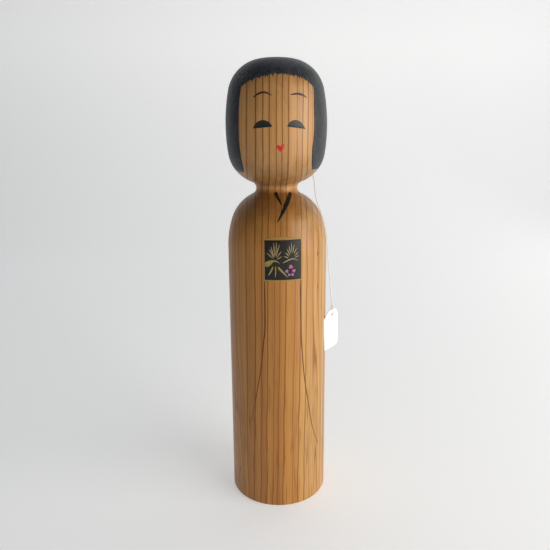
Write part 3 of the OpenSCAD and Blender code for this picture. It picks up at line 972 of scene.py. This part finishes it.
# From the shoulder down to the knot over the card.
HANGING_ROUTE = (
    SWING_AT, (39.55, -6.42, 227.3), (40.05, -6.55, 223), (40.7, -6.9, 212.5), (41.5, -7.3, 202),
    (42.4, -7.7, 191.5), (43.3, -8.1, 181), (44.1, -8.5, 172), (44.8, -8.76, 165.4),
)  # fmt: skip
# Centre of the hole in the card, and the direction of its face round from the front.
HOLE_AT = Vector((44.9, -8.8, 158)) * MM
CARD_TURN = math.radians(49)


def spun_tube(bm, line, thickness, closed=False, plies=2, twist=2.6 * MM, sides=12):
    """A twisted thread along a line: its section has a lobe for each ply, and the lobes wind round."""
    count = len(line)
    travelled = 0.0
    side = None
    rings = []
    for i, point in enumerate(line):
        before = line[i - 1] if closed else line[max(i - 1, 0)]
        after = line[(i + 1) % count] if closed else line[min(i + 1, count - 1)]
        along = (after - before).normalized()
        if side is None:
            side = along.orthogonal().normalized()
        side = (side - along * side.dot(along)).normalized()
        out = along.cross(side)
        travelled += (point - line[i - 1]).length if i else 0.0
        wind = 2 * math.pi * travelled / twist
        ring = []
        for k in range(sides):
            angle = 2 * math.pi * k / sides
            lobe = 0.84 + 0.16 * math.cos(plies * (angle - wind))
            spoke = math.cos(angle) * side + math.sin(angle) * out
            ring.append(bm.verts.new(point + thickness / 2 * lobe * spoke))
        rings.append(ring)
    pairs = list(zip(rings, rings[1:]))
    if closed:
        pairs.append((rings[-1], rings[0]))
    else:
        bm.faces.new(rings[0][::-1])
        bm.faces.new(rings[-1])
    for low, high in pairs:
        for k in range(sides):
            j = (k + 1) % sides
            bm.faces.new((low[k], low[j], high[j], high[k]))


def evenly(points, spacing):
    """A smooth line through the points with a point at each spacing."""
    rough = smooth_line(points, 24)
    line, gap = [rough[0]], 0.0
    for a, b in zip(rough, rough[1:]):
        gap += (b - a).length
        if gap >= spacing:
            line.append(b)
            gap = 0.0
    line[-1] = rough[-1]
    return line


def trefoil(centre, size, axis):
    """The line of an overhand knot pulled up to a size, with its axis in a direction."""
    turn = Vector((0, 0, 1)).rotation_difference(Vector(axis)).to_matrix()
    line = []
    steps = 60
    for i in range(steps):
        t = 2 * math.pi * i / steps
        across = math.sin(t) + 2 * math.sin(2 * t)
        up = math.cos(t) - 2 * math.cos(2 * t)
        point = Vector((across, up, -1.3 * math.sin(3 * t)))
        line.append(centre + turn @ (point * size / 3))
    return line


class KOKESHI_OT_swing_tag(bpy.types.Operator):
    """The ticket, its loop and knots, and the thread that it hangs by"""

    bl_idname = "kokeshi.swing_tag"
    bl_label = "Swing tag"

    def execute(self, context):
        tag = context.scene.kokeshi_tag
        cotton = spun_cotton("two_ply_cotton", tag.cotton)
        card = self.card(tag)
        loop = self.loop(tag, cotton)
        knot = self.end_knot(tag, cotton)

        line = evenly([Vector(p) * MM for p in NECK_ROUTE], 0.3 * MM)
        bm = bmesh.new()
        spun_tube(bm, line, tag.thread)
        upper = new_piece("neck_thread", bm, 80)
        hand_over(upper, "torso", ["neck_thread"], cotton)

        line = evenly([Vector(p) * MM for p in HANGING_ROUTE], 0.3 * MM)
        bm = bmesh.new()
        spun_tube(bm, line, tag.thread)
        lower = new_piece("hanging_thread", bm, 80)
        hand_over(lower, "swing_tag", ["hanging_thread"], cotton)
        return {"FINISHED"}

    def run(self, line):
        """The length of a line of points."""
        return sum((b - a).length for a, b in zip(line, line[1:]))

    def card(self, tag):
        """A ticket with two cut corners and a punched hole, curled a little across its width."""
        half, top = tag.card_width / 2, CARD_HIGH.z - HOLE_AT.z
        bottom = top - tag.card_height
        cut = tag.corner_cut
        corners = [
            (-half, bottom), (half, bottom), (half, top - cut),
            (half - cut, top), (cut - half, top), (-half, top - cut),
        ]  # fmt: skip
        spacing = 1.0 * MM
        rim = []
        for a, b in zip(corners, corners[1:] + corners[:1]):
            a, b = Vector(a), Vector(b)
            count = max(1, round((b - a).length / spacing))
            rim += [a.lerp(b, i / count) for i in range(count)]
        around = [i * math.pi / 14 for i in range(28)]
        hole = [tag.hole_radius * Vector((math.cos(a), math.sin(a))) for a in around]
        inside = []
        steps_x, steps_z = int(2 * half / spacing), int((top - bottom) / spacing)
        for i in range(1, steps_x):
            for k in range(1, steps_z):
                point = Vector((-half + i * spacing, bottom + k * spacing))
                corner_room = half - abs(point.x) + top - point.y
                if point.length > tag.hole_radius + 0.6 * spacing and corner_room > cut + 0.5 * spacing:
                    inside.append(point)
        points = rim + hole + inside
        n, m = len(rim), len(hole)
        edges = [(i, (i + 1) % n) for i in range(n)] + [(n + i, n + (i + 1) % m) for i in range(m)]
        verts, _, faces, _, _, _ = delaunay_2d_cdt(points, edges, [], 1, 1e-7)
        bm = bmesh.new()
        made = [bm.verts.new(self.curled(p, half)) for p in verts]
        for face in faces:
            middle = sum((verts[i] for i in face), Vector((0, 0))) / len(face)
            if middle.length > tag.hole_radius * 0.95:
                bm.faces.new([made[i] for i in face])
        piece = new_piece("tag_card", bm)
        thicken(piece, tag.card_thickness, 0)
        board = ticket_card("white_ticket_board", tag.card)
        return hand_over(piece, "swing_tag", ["tag_card"], board)

    def curled(self, point, half):
        """A place on the flat card as it hangs: a little askew, and turned away more at its far edge."""
        bend = math.radians(16)
        point = Matrix.Rotation(math.radians(3.2), 2) @ point
        share = point.x / half
        turn = CARD_TURN + bend * (share - 0.15) / 2
        forward = Vector((math.cos(turn), math.sin(turn), 0))
        return HOLE_AT + forward * point.x + Vector((0, 0, point.y))

    def loop(self, tag, cotton):
        """The thread's loop through the hole, and the knot that closes it over the card's edge."""
        out = Vector((math.sin(CARD_TURN), -math.cos(CARD_TURN), 0))
        sideways = Vector((math.cos(CARD_TURN), math.sin(CARD_TURN), 0))
        knot_at = HOLE_AT + Vector((0, 0, 6.6 * MM))
        reach = [(0, -0.6), (1.0, 0.3), (1.35, 2.2), (1.0, 4.4), (0.35, 5.9)]
        near = [HOLE_AT + MM * (a * out + Vector((0, 0, b)) + 0.15 * a * sideways) for a, b in reach]
        far = [HOLE_AT + MM * (-a * out + Vector((0, 0, b)) - 0.15 * a * sideways) for a, b in reach[:0:-1]]
        bm = bmesh.new()
        spun_tube(bm, evenly(near[::-1] + far[::-1], 0.25 * MM), tag.thread * 0.75)
        spun_tube(bm, trefoil(knot_at, 0.8 * MM, (0.3, 0.2, 1)), tag.thread * 0.8, closed=True)
        piece = new_piece("tag_loop", bm, 80)
        return hand_over(piece, "swing_tag", ["tag_loop"], cotton)

    def end_knot(self, tag, cotton):
        """The overhand knot at the thread's end, with its short tail."""
        before, end = Vector(NECK_ROUTE[-2]), Vector(NECK_ROUTE[-1])
        along = (end - before).normalized()
        centre = (end + 0.7 * along) * MM
        bm = bmesh.new()
        spun_tube(bm, trefoil(centre, 0.75 * MM, along), tag.thread * 0.8, closed=True)
        tail = [centre, centre + 1.2 * MM * along, centre + MM * (2.2 * along + Vector((-0.3, 0.2, 0)))]
        spun_tube(bm, evenly(tail, 0.25 * MM), tag.thread * 0.7)
        piece = new_piece("thread_knot", bm, 80)
        return hand_over(piece, "torso", ["thread_knot"], cotton)


# ---------------------------------------------------------------- turned wood


class KOKESHI_OT_torso(bpy.types.Operator):
    """The turned body with its blind socket"""

    bl_idname = "kokeshi.torso"
    bl_label = "Body"

    def execute(self, context):
        turning = context.scene.kokeshi_turning
        wood = context.scene.kokeshi_wood
        peg_foot = HEAD_LOW.z
        socket = turning.peg_radius + turning.peg_gap
        seam = turning.seam_height
        groove_z = seam - 0.6 * (seam - peg_foot)
        groove = [
            Vector((socket + turning.bead_height * max(0, math.cos(a)), groove_z + 2.2 * MM * math.sin(a)))
            for a in (math.pi / 2 - i * math.pi / 12 for i in range(13))
        ]
        points = [Vector((0, 0))] + body_outline(turning).points
        points += [Vector((socket + 0.6 * MM, seam)), Vector((socket, seam - 0.6 * MM))]
        points += groove + [Vector((socket, peg_foot - 2 * MM)), Vector((0, peg_foot - 2.4 * MM))]
        piece = lathe("body", points)
        material = varnished_conifer(
            "varnished_cedar_body",
            wood.body_early, wood.body_sapwood, wood.body_heart, wood.body_latewood, wood.pin_knot,
        )
        hand_over(piece, "torso", ["body"], material)
        return {"FINISHED"}


class KOKESHI_OT_head(bpy.types.Operator):
    """The turned head with the peg that it swivels on"""

    bl_idname = "kokeshi.head"
    bl_label = "Head"

    def execute(self, context):
        turning = context.scene.kokeshi_turning
        wood = context.scene.kokeshi_wood
        peg, foot, seam = turning.peg_radius, HEAD_LOW.z, turning.seam_height
        nose = 1.5 * MM
        bead_z = seam - 0.6 * (seam - foot)
        bead = [
            Vector((peg + turning.bead_height * math.cos(a), bead_z + 1.4 * MM * math.sin(a)))
            for a in (-math.pi / 2 + i * math.pi / 12 for i in range(13))
        ]
        points = [Vector((0, foot)), Vector((peg - nose, foot)), Vector((peg, foot + nose))] + bead
        points += [Vector((peg, seam + turning.seam_gap))] + head_outline(turning).points
        points[-1].x = 0
        piece = lathe("head", points)
        material = varnished_conifer(
            "varnished_cedar_head",
            wood.head_early, wood.head_sapwood, wood.head_heart, wood.head_latewood, wood.pin_knot,
        )
        hand_over(piece, "turning_head", ["head"], material)
        return {"FINISHED"}


# ---------------------------------------------------------------- paint on the head

# Inner edge of each side lock, as (height in millimetres, degrees round from the middle of the face).
LEFT_LOCK = (
    (334, -48.5), (328, -49), (313, -49.4), (298, -49.7),
    (289, -49.2), (284, -49.4), (279, -51.5), (276, -57),
)  # fmt: skip
RIGHT_LOCK = ((334, 42.5), (328, 41), (321, 40), (307, 40), (293, 38.7), (287, 39.6), (282, 43), (278, 49))
# Height at which the fringe runs into the locks, and of the hair's lower edge, in millimetres.
FRINGE_END = 334
HAIR_END = 277


def along_edge(edge, height):
    """Angle of a lock's edge at a height, both in the edge's own units."""
    for (z1, a1), (z2, a2) in zip(edge, edge[1:]):
        if height >= z2:
            share = min(1.0, (z1 - height) / (z1 - z2))
            return a1 + (a2 - a1) * share
    return edge[-1][1]


def bristles(position, width, rng_seed):
    """How far the bristle at a place along the brush's edge reaches, from 0 to 1."""
    number, share = math.floor(position / width), (position / width) % 1
    own = random.Random(rng_seed * 1000 + number)
    reach, lean = own.random() ** 1.6, own.uniform(0.3, 0.7)
    peak = share / lean if share < lean else (1 - share) / (1 - lean)
    return reach * peak**0.8


class KOKESHI_OT_hair(bpy.types.Operator):
    """The bobbed hair, laid on with a coarse brush"""

    bl_idname = "kokeshi.hair"
    bl_label = "Hair"

    def execute(self, context):
        turning = context.scene.kokeshi_turning
        paint = context.scene.kokeshi_paint
        outline = head_outline(turning)
        left, right = LEFT_LOCK[0][1], RIGHT_LOCK[0][1]
        fine, coarse = 0.25, 2.2
        open_count = round((right - left) / fine)
        wrap_count = round((360 - right + left) / coarse)
        open_angles = [left + (right - left) * i / open_count for i in range(open_count)]
        wrap_angles = [right + (360 - right + left) * i / wrap_count for i in range(wrap_count + 1)]
        upper_rows, lower_rows = 60, 40
        pole = outline.lengths[-1]
        lift = 1.3 * paint.film

        bm = bmesh.new()
        crown = bm.verts.new((0, 0, turning.doll_height + lift))

        def place(degrees, run, thickness):
            here, out = outline.at_length(run)
            turn = math.radians(degrees)
            radius = here.x + thickness * out.x
            return (radius * math.sin(turn), -radius * math.cos(turn), here.y + thickness * out.y)

        def column(degrees, end, rim):
            """From the crown to where the paint ends, or to the row that the locks go on from."""
            verts = []
            for k in range(1, upper_rows + 1):
                run = pole + (outline.length_at(end) - pole) * k / upper_rows
                thin = rim and k == upper_rows
                verts.append(bm.verts.new(place(degrees, run, lift * (0.35 if thin else 1))))
            return verts

        open_columns = [column(a, self.fringe(a), True) for a in open_angles]
        wrap_columns = [column(a, FRINGE_END * MM, False) for a in wrap_angles]
        open_columns[0] = wrap_columns[-1]
        all_columns = open_columns + wrap_columns[:-1]
        for i, low in enumerate(all_columns):
            high = all_columns[(i + 1) % len(all_columns)]
            bm.faces.new((crown, low[0], high[0]))
            for k in range(upper_rows - 1):
                bm.faces.new((low[k], low[k + 1], high[k + 1], high[k]))

        # The locks and the back go on down from the row at the fringe's end.
        previous = [c[-1] for c in wrap_columns]
        rim_columns = (0, wrap_count)
        for k in range(1, lower_rows + 1):
            row = []
            for i, angle in enumerate(wrap_angles):
                end = self.lower_edge(i / wrap_count, angle)
                height = FRINGE_END + (end - FRINGE_END) * k / lower_rows
                from_right, from_left = i / wrap_count, 1 - i / wrap_count
                warp = (along_edge(RIGHT_LOCK, height) - right) * max(0, 1 - from_right / 0.1) ** 2
                warp += (along_edge(LEFT_LOCK, height) - left) * max(0, 1 - from_left / 0.1) ** 2
                if i in rim_columns:
                    warp += 0.35 * noise.noise(Vector((height * 0.35, i, 0)))
                thin = i in rim_columns or k == lower_rows
                thickness = lift * (0.35 if thin else 1)
                row.append(bm.verts.new(place(angle + warp, outline.length_at(height * MM), thickness)))
            for i in range(wrap_count):
                bm.faces.new((previous[i], row[i], row[i + 1], previous[i + 1]))
            previous = row
        piece = new_piece("hair", bm, 60)
        thicken(piece, lift + ROOTED)
        # The last number sets the crown's scratches and its painted sheen.
        material = brushed_lacquer("brushed_black_lacquer_hair", paint.hair, paint.rubbed_and_sheen, 0.7, 0.8)
        hand_over(piece, "turning_head", ["hair"], material)
        return {"FINISHED"}

    def fringe(self, degrees):
        """Height of the fringe's lower edge: a flat ellipse with the marks of single bristles."""
        centre, rise = 1.0, 10.8
        across = 37.3 * math.sin(math.radians(degrees))
        reach = 29.1 if across < centre else 24.4
        share = min(1.0, abs(across - centre) / reach)
        calm = math.sqrt(max(0.0, 1 - share**2.05))
        if calm == 0:
            return FRINGE_END * MM
        combed = 2.4 * bristles(degrees, 2.3, 3) + 1.2 * bristles(degrees, 1.3, 11)
        return (FRINGE_END + rise * calm + 1.1 - combed * min(1, calm * 1.6)) * MM

    def lower_edge(self, share, degrees):
        """Height of the hair's lower edge, in millimetres."""
        ends = 0.5 * bristles(degrees, 2.4, 5)
        return HAIR_END + 1.2 * (1 - share) ** 3 - 0.6 * share**3 - ends


class KOKESHI_OT_face(bpy.types.Operator):
    """Brows, eyes and lips"""

    bl_idname = "kokeshi.face"
    bl_label = "Face"

    def execute(self, context):
        paint = context.scene.kokeshi_paint
        outline = head_outline(context.scene.kokeshi_turning)
        brow_ink = brushed_paint("maroon_brow_ink", paint.brow, linear("#6b4030"))
        eye_black = brushed_paint("eye_lacquer", paint.eye, linear("#2c3431"), 0.4)
        # The right eye, on the window's side, is drawn in a greyer, lighter black than the left.
        eye_grey = brushed_paint("greyer_eye_lacquer", linear("#232826"), linear("#3d4540"), 0.4)
        lip_red = brushed_paint("lip_vermilion", paint.lips, linear("#d0473a"), 0.4)

        def brow_width(share):
            return 0.2 + 0.54 * math.sin(math.pi * min(1, share * 1.04)) ** 0.8

        sheets = {
            "left_brow": [
                stroke(
                    [(-19, 329.5), (-15.5, 331.9), (-11.7, 332.7), (-8.6, 331.9), (-6.2, 330.4)],
                    brow_width,
                )
            ],
            "right_brow": [stroke([(7.3, 331), (12.5, 331.7), (16.6, 330.7), (19.5, 329)], brow_width)],
            "left_eye": [
                between(
                    [(-19.6, 308.1), (-13, 308.6), (-6.2, 309.2)],
                    [
                        (-19.6, 308.2), (-18.4, 310.8), (-16.1, 312.9), (-13, 313.8),
                        (-10, 313.2), (-7.6, 311.6), (-6.2, 309.3),
                    ],
                )
            ],
            "right_eye": [
                between(
                    [(4.4, 309.2), (11, 308.4), (18.1, 307.5)],
                    [
                        (4.4, 309.3), (6, 311.8), (8.2, 313.2), (10.9, 313.6),
                        (13.8, 312.7), (16.3, 310.6), (18.1, 307.6),
                    ],
                )
            ],
            "lips": [
                blob(
                    (-0.3, 294.2),
                    smooth_line(
                        [
                            (-0.3, 295.5), (0.8, 296.8), (2.0, 297.3), (2.5, 295.9),
                            (1.9, 293.8), (0.7, 291.9), (-0.6, 291.7), (-1.7, 293.2),
                            (-3.3, 294.2), (-3.5, 295.5), (-2.4, 296.3), (-1.2, 296.2),
                        ],
                        6,
                        closed=True,
                    ),
                )
            ],
        }  # fmt: skip
        finishes = {
            "left_brow": ("maroon_ink", brow_ink),
            "right_brow": ("maroon_ink", brow_ink),
            "left_eye": ("black_lacquer", eye_black),
            "right_eye": ("black_lacquer", eye_grey),
            "lips": ("red_paint", lip_red),
        }
        for name, (slot, material) in finishes.items():
            piece = film(name, outline, sheets[name], paint.film, 0.01 * MM)
            hand_over(piece, "turning_head", [name], material)
        return {"FINISHED"}


# ---------------------------------------------------------------- paint on the body


class KOKESHI_OT_kimono_lines(bpy.types.Operator):
    """The two collar strokes and the two long sleeve lines"""

    bl_idname = "kokeshi.kimono_lines"
    bl_label = "Kimono lines"

    def execute(self, context):
        paint = context.scene.kokeshi_paint
        outline = body_outline(context.scene.kokeshi_turning)
        collar_ink = brushed_paint("collar_ink", paint.kimono, linear("#241612"))
        line_ink = brushed_paint("sleeve_line_ink", linear("#41230d"), linear("#84552a"))

        def short_collar(share):
            return 1.5 * min(1, 0.55 + 6 * share) * (1 - 0.68 * share) * (0.3 if share > 0.97 else 1)

        def long_collar(share):
            swell = math.sin(math.pi * min(1, 0.18 + share * 0.82)) ** 0.7
            return 1.65 * swell * (1 - 0.25 * share) + 0.08

        def thin_line(share):
            return 0.38 * (1 - 0.55 * share**3) * min(1, 0.4 + 12 * share)

        sheets = {
            "left_collar": (
                collar_ink,
                stroke([(-2.6, 260.7), (-0.7, 256.6), (1.3, 252)], short_collar, ragged=0.3, seed=2),
            ),
            "right_collar": (
                collar_ink,
                stroke(
                    [(9.7, 260.2), (6.4, 255), (3.2, 249.8), (0.3, 245), (-2.5, 240.4)],
                    long_collar, ragged=0.35, seed=5,
                ),
            ),
            "left_sleeve": (
                line_ink,
                stroke(
                    [
                        (-13, 195.6), (-13.1, 160.5), (-14.5, 144.8), (-16.7, 123.8),
                        (-19.9, 104.5), (-22.3, 89), (-25.8, 73.7),
                    ],
                    thin_line, steps=12, ragged=0.08, seed=7,
                ),
            ),
            "right_sleeve": (
                line_ink,
                stroke(
                    [
                        (14.4, 195.4), (15.1, 162), (15.6, 144), (18.2, 114),
                        (20.8, 97), (25.5, 68.5), (31.6, 47.8),
                    ],
                    thin_line, steps=12, ragged=0.08, seed=9,
                ),
            ),
        }  # fmt: skip
        for name, (material, sheet) in sheets.items():
            piece = film(name, outline, [sheet], paint.film, 0.01 * MM)
            hand_over(piece, "torso", [name], material)
        return {"FINISHED"}


# The chest panel's sides, lower and upper edge, and the top of its gold arch, in millimetres.
PANEL_LEFT, PANEL_RIGHT = -12.8, 14.8
PANEL_LOW, PANEL_HIGH = 196.9, 227.2
ARCH_HIGH = 229.8


class KOKESHI_OT_chest_panel(bpy.types.Operator):
    """The black panel with pine, bamboo and plum in its gold edge"""

    bl_idname = "kokeshi.chest_panel"
    bl_label = "Chest panel"

    def execute(self, context):
        self.paint = context.scene.kokeshi_paint
        self.outline = body_outline(context.scene.kokeshi_turning)
        paint = self.paint
        ground = brushed_lacquer("panel_black_lacquer", paint.lacquer, paint.rubbed_and_sheen, 1.4, 0.0)
        gold = brushed_paint("panel_gold", paint.gold, linear("#ad8b50"), 0.38)
        pale = brushed_paint("pale_gold_needle", paint.pale_gold, linear("#8f7d52"))
        olive = brushed_paint("olive_gold_leaf", paint.olive, linear("#a3935a"))
        blossom = petal_paint("plum_petal", paint.lilac, paint.pink)
        self.lay("panel_ground", "black_lacquer", ground, [self.ground()], 0)
        self.lay("panel_edge", "gold_paint", gold, [self.gold_edge()], 0)
        left_tips = [
            (-11.2, 217.9), (-9.5, 220.6), (-8.1, 222.8), (-6.1, 225.7),
            (-3.9, 225.9), (-1.6, 224.2), (-0.3, 219.2), (0.1, 215.1),
        ]  # fmt: skip
        right_tips = [
            (1.5, 215.3), (2.5, 217.9), (4.1, 220.7), (5.4, 223.2), (7.2, 225.4),
            (9.6, 224), (11.4, 221.4), (12.5, 218), (13.2, 215.2),
        ]  # fmt: skip
        self.lay("left_pine", "pale_gold_paint", pale, self.tuft((-5.1, 212.2), left_tips, 0.22), 1)
        self.lay("right_pine", "pale_gold_paint", pale, self.tuft((7.7, 212.4), right_tips, 0.42), 1)
        leaf = between(
            [(-12.7, 207.6), (-10.6, 206.9), (-8.2, 208.6), (-6.4, 210.7), (-4.0, 210.7), (-1.6, 209.6)],
            [(-12.7, 210.4), (-10, 211.9), (-6.4, 212.4), (-3.8, 211.7), (-1.6, 209.8)],
        )
        self.lay("pine_leaf", "olive_gold_paint", olive, [leaf], 1)
        branch = stroke(
            [(0.8, 209.9), (3.8, 211.5), (7, 212.7), (9.4, 212.7), (12.4, 211.5)],
            lambda share: 0.2 + 0.3 * math.sin(math.pi * share),
        )
        self.lay("pine_branch", "pale_gold_paint", pale, [branch], 1)

        def leaf_width(widest):
            return lambda share: 0.12 + widest * math.sin(math.pi * share**0.7)

        bamboo = [
            stroke([(-6.6, 207.4), (-8.2, 203.7), (-10.2, 200)], leaf_width(0.62)),
            stroke([(-4.8, 207.8), (-4.7, 203.5), (-5, 198.9)], leaf_width(0.36)),
            stroke([(-3.2, 207.1), (-0.6, 204.2), (4.4, 198.8)], leaf_width(0.72)),
        ]
        self.lay("bamboo_leaves", "olive_gold_paint", olive, bamboo, 1)
        self.lay("plum_blossom", "pink_paint", blossom, self.petals(), 1)
        return {"FINISHED"}

    def lay(self, name, slot, material, sheets, layer):
        """Paints sheets on the wood, or in layer 1 on the black ground."""
        coat = self.paint.film
        sunk = 0.01 * MM if layer == 0 else 0.5 * coat
        piece = film(name, self.outline, sheets, coat * (1 + 0.9 * layer), sunk)
        hand_over(piece, "torso", [name], material)

    def ground(self):
        """The black ground, with sides that waver a little."""
        count = 56
        rows = []
        for k in range(count + 1):
            height = PANEL_LOW + (PANEL_HIGH - PANEL_LOW) * k / count
            waver = 0.12 * noise.noise(Vector((k * 0.3, 0.5, 0)))
            row = []
            for i in range(count + 1):
                across = PANEL_LEFT + waver + (PANEL_RIGHT - PANEL_LEFT) * i / count
                row.append((across * MM, height * MM))
            rows.append(row)
        return rows, "open"

    def gold_edge(self):
        """A closed band from the ground's rim to the outer rim, which arches over the top."""
        side, below, above = 0.9, 1.1, 0.9
        middle = (PANEL_LEFT + PANEL_RIGHT) / 2
        half = (PANEL_RIGHT - PANEL_LEFT) / 2

        def rim(share_out):
            low, high = PANEL_LOW - below * share_out, PANEL_HIGH + above * share_out
            left, right = PANEL_LEFT - side * share_out, PANEL_RIGHT + side * 0.9 * share_out
            count = 40
            line = [Vector((left + (right - left) * i / count, low)) for i in range(count)]
            line += [Vector((right, low + (high - low) * i / count)) for i in range(count)]
            for i in range(count):
                across = right + (left - right) * i / count
                arch = (ARCH_HIGH - PANEL_HIGH - above) * max(0, 1 - ((across - middle) / half) ** 2)
                line.append(Vector((across, PANEL_HIGH + (above + arch) * share_out)))
            line += [Vector((left, high + (low - high) * i / count)) for i in range(count)]
            return [(p.x * MM, p.y * MM) for p in line]

        steps = 5
        return [rim(0.02 + 0.98 * k / steps) for k in range(steps + 1)], "band"

    def tuft(self, root, tips, bare):
        """Needles that fan out from one root. Each starts a share of the way out, which is left bare."""
        def needle_width(share):
            return 0.1 + 0.3 * math.sin(math.pi * share**1.3)

        root = Vector(root)
        needles = []
        for number, tip in enumerate(tips):
            tip = Vector(tip)
            start = root.lerp(tip, bare)
            bow = 0.2 * math.sin(number * 2.1)
            middle = root.lerp(tip, (1 + bare) / 2) + Vector((bow, 0))
            needles.append(stroke([start, middle, tip], needle_width, 5, 4, 0.1, number))
        return needles

    def petals(self):
        """Five dabs of a round brush."""
        dabs = []
        places = [
            (5.5, 200.7, 1.1), (6.8, 206.8, 1.55), (8.1, 200.7, 1.15), (3.7, 203.5, 1.3), (9.2, 203.6, 1.35),
        ]  # fmt: skip
        for number, (x, z, size) in enumerate(places):
            rim = []
            for i in range(28):
                angle = 2 * math.pi * i / 28
                waver = 0.12 * math.cos(3 * angle + number) + 0.06 * math.sin(5 * angle + 2 * number)
                radius = size * (1 + waver)
                rim.append(Vector((x + radius * math.cos(angle), z + radius * math.sin(angle))))
            dabs.append(blob((x, z), rim, 6))
        return dabs


# ---------------------------------------------------------------- add-on

OPERATORS = (
    KOKESHI_OT_stage,
    KOKESHI_OT_swing_tag,
    KOKESHI_OT_torso,
    KOKESHI_OT_head,
    KOKESHI_OT_hair,
    KOKESHI_OT_face,
    KOKESHI_OT_kimono_lines,
    KOKESHI_OT_chest_panel,
)


class KOKESHI_PT_sidebar(bpy.types.Panel):
    """Lists the pieces of the doll in the order in which they are made"""

    bl_idname = "KOKESHI_PT_sidebar"
    bl_label = "Kokeshi doll"
    bl_space_type = "VIEW_3D"
    bl_region_type = "UI"
    bl_category = "Kokeshi"

    def draw(self, context):
        for operator in OPERATORS:
            self.layout.operator(operator.bl_idname)
        for name in GROUPS:
            box = self.layout.box()
            settings = getattr(context.scene, name)
            for key in settings.__annotations__:
                box.prop(settings, key)


def register():
    for group in GROUPS.values():
        bpy.utils.register_class(group)
    for name, group in GROUPS.items():
        setattr(bpy.types.Scene, name, bpy.props.PointerProperty(type=group))
    for operator in OPERATORS:
        bpy.utils.register_class(operator)
    bpy.utils.register_class(KOKESHI_PT_sidebar)


def unregister():
    bpy.utils.unregister_class(KOKESHI_PT_sidebar)
    for operator in reversed(OPERATORS):
        bpy.utils.unregister_class(operator)
    for name, group in GROUPS.items():
        delattr(bpy.types.Scene, name)
        bpy.utils.unregister_class(group)


def main():
    register()
    for operator in OPERATORS:
        group, name = operator.bl_idname.split(".")
        getattr(getattr(bpy.ops, group), name)()


if __name__ == "__main__":
    main()
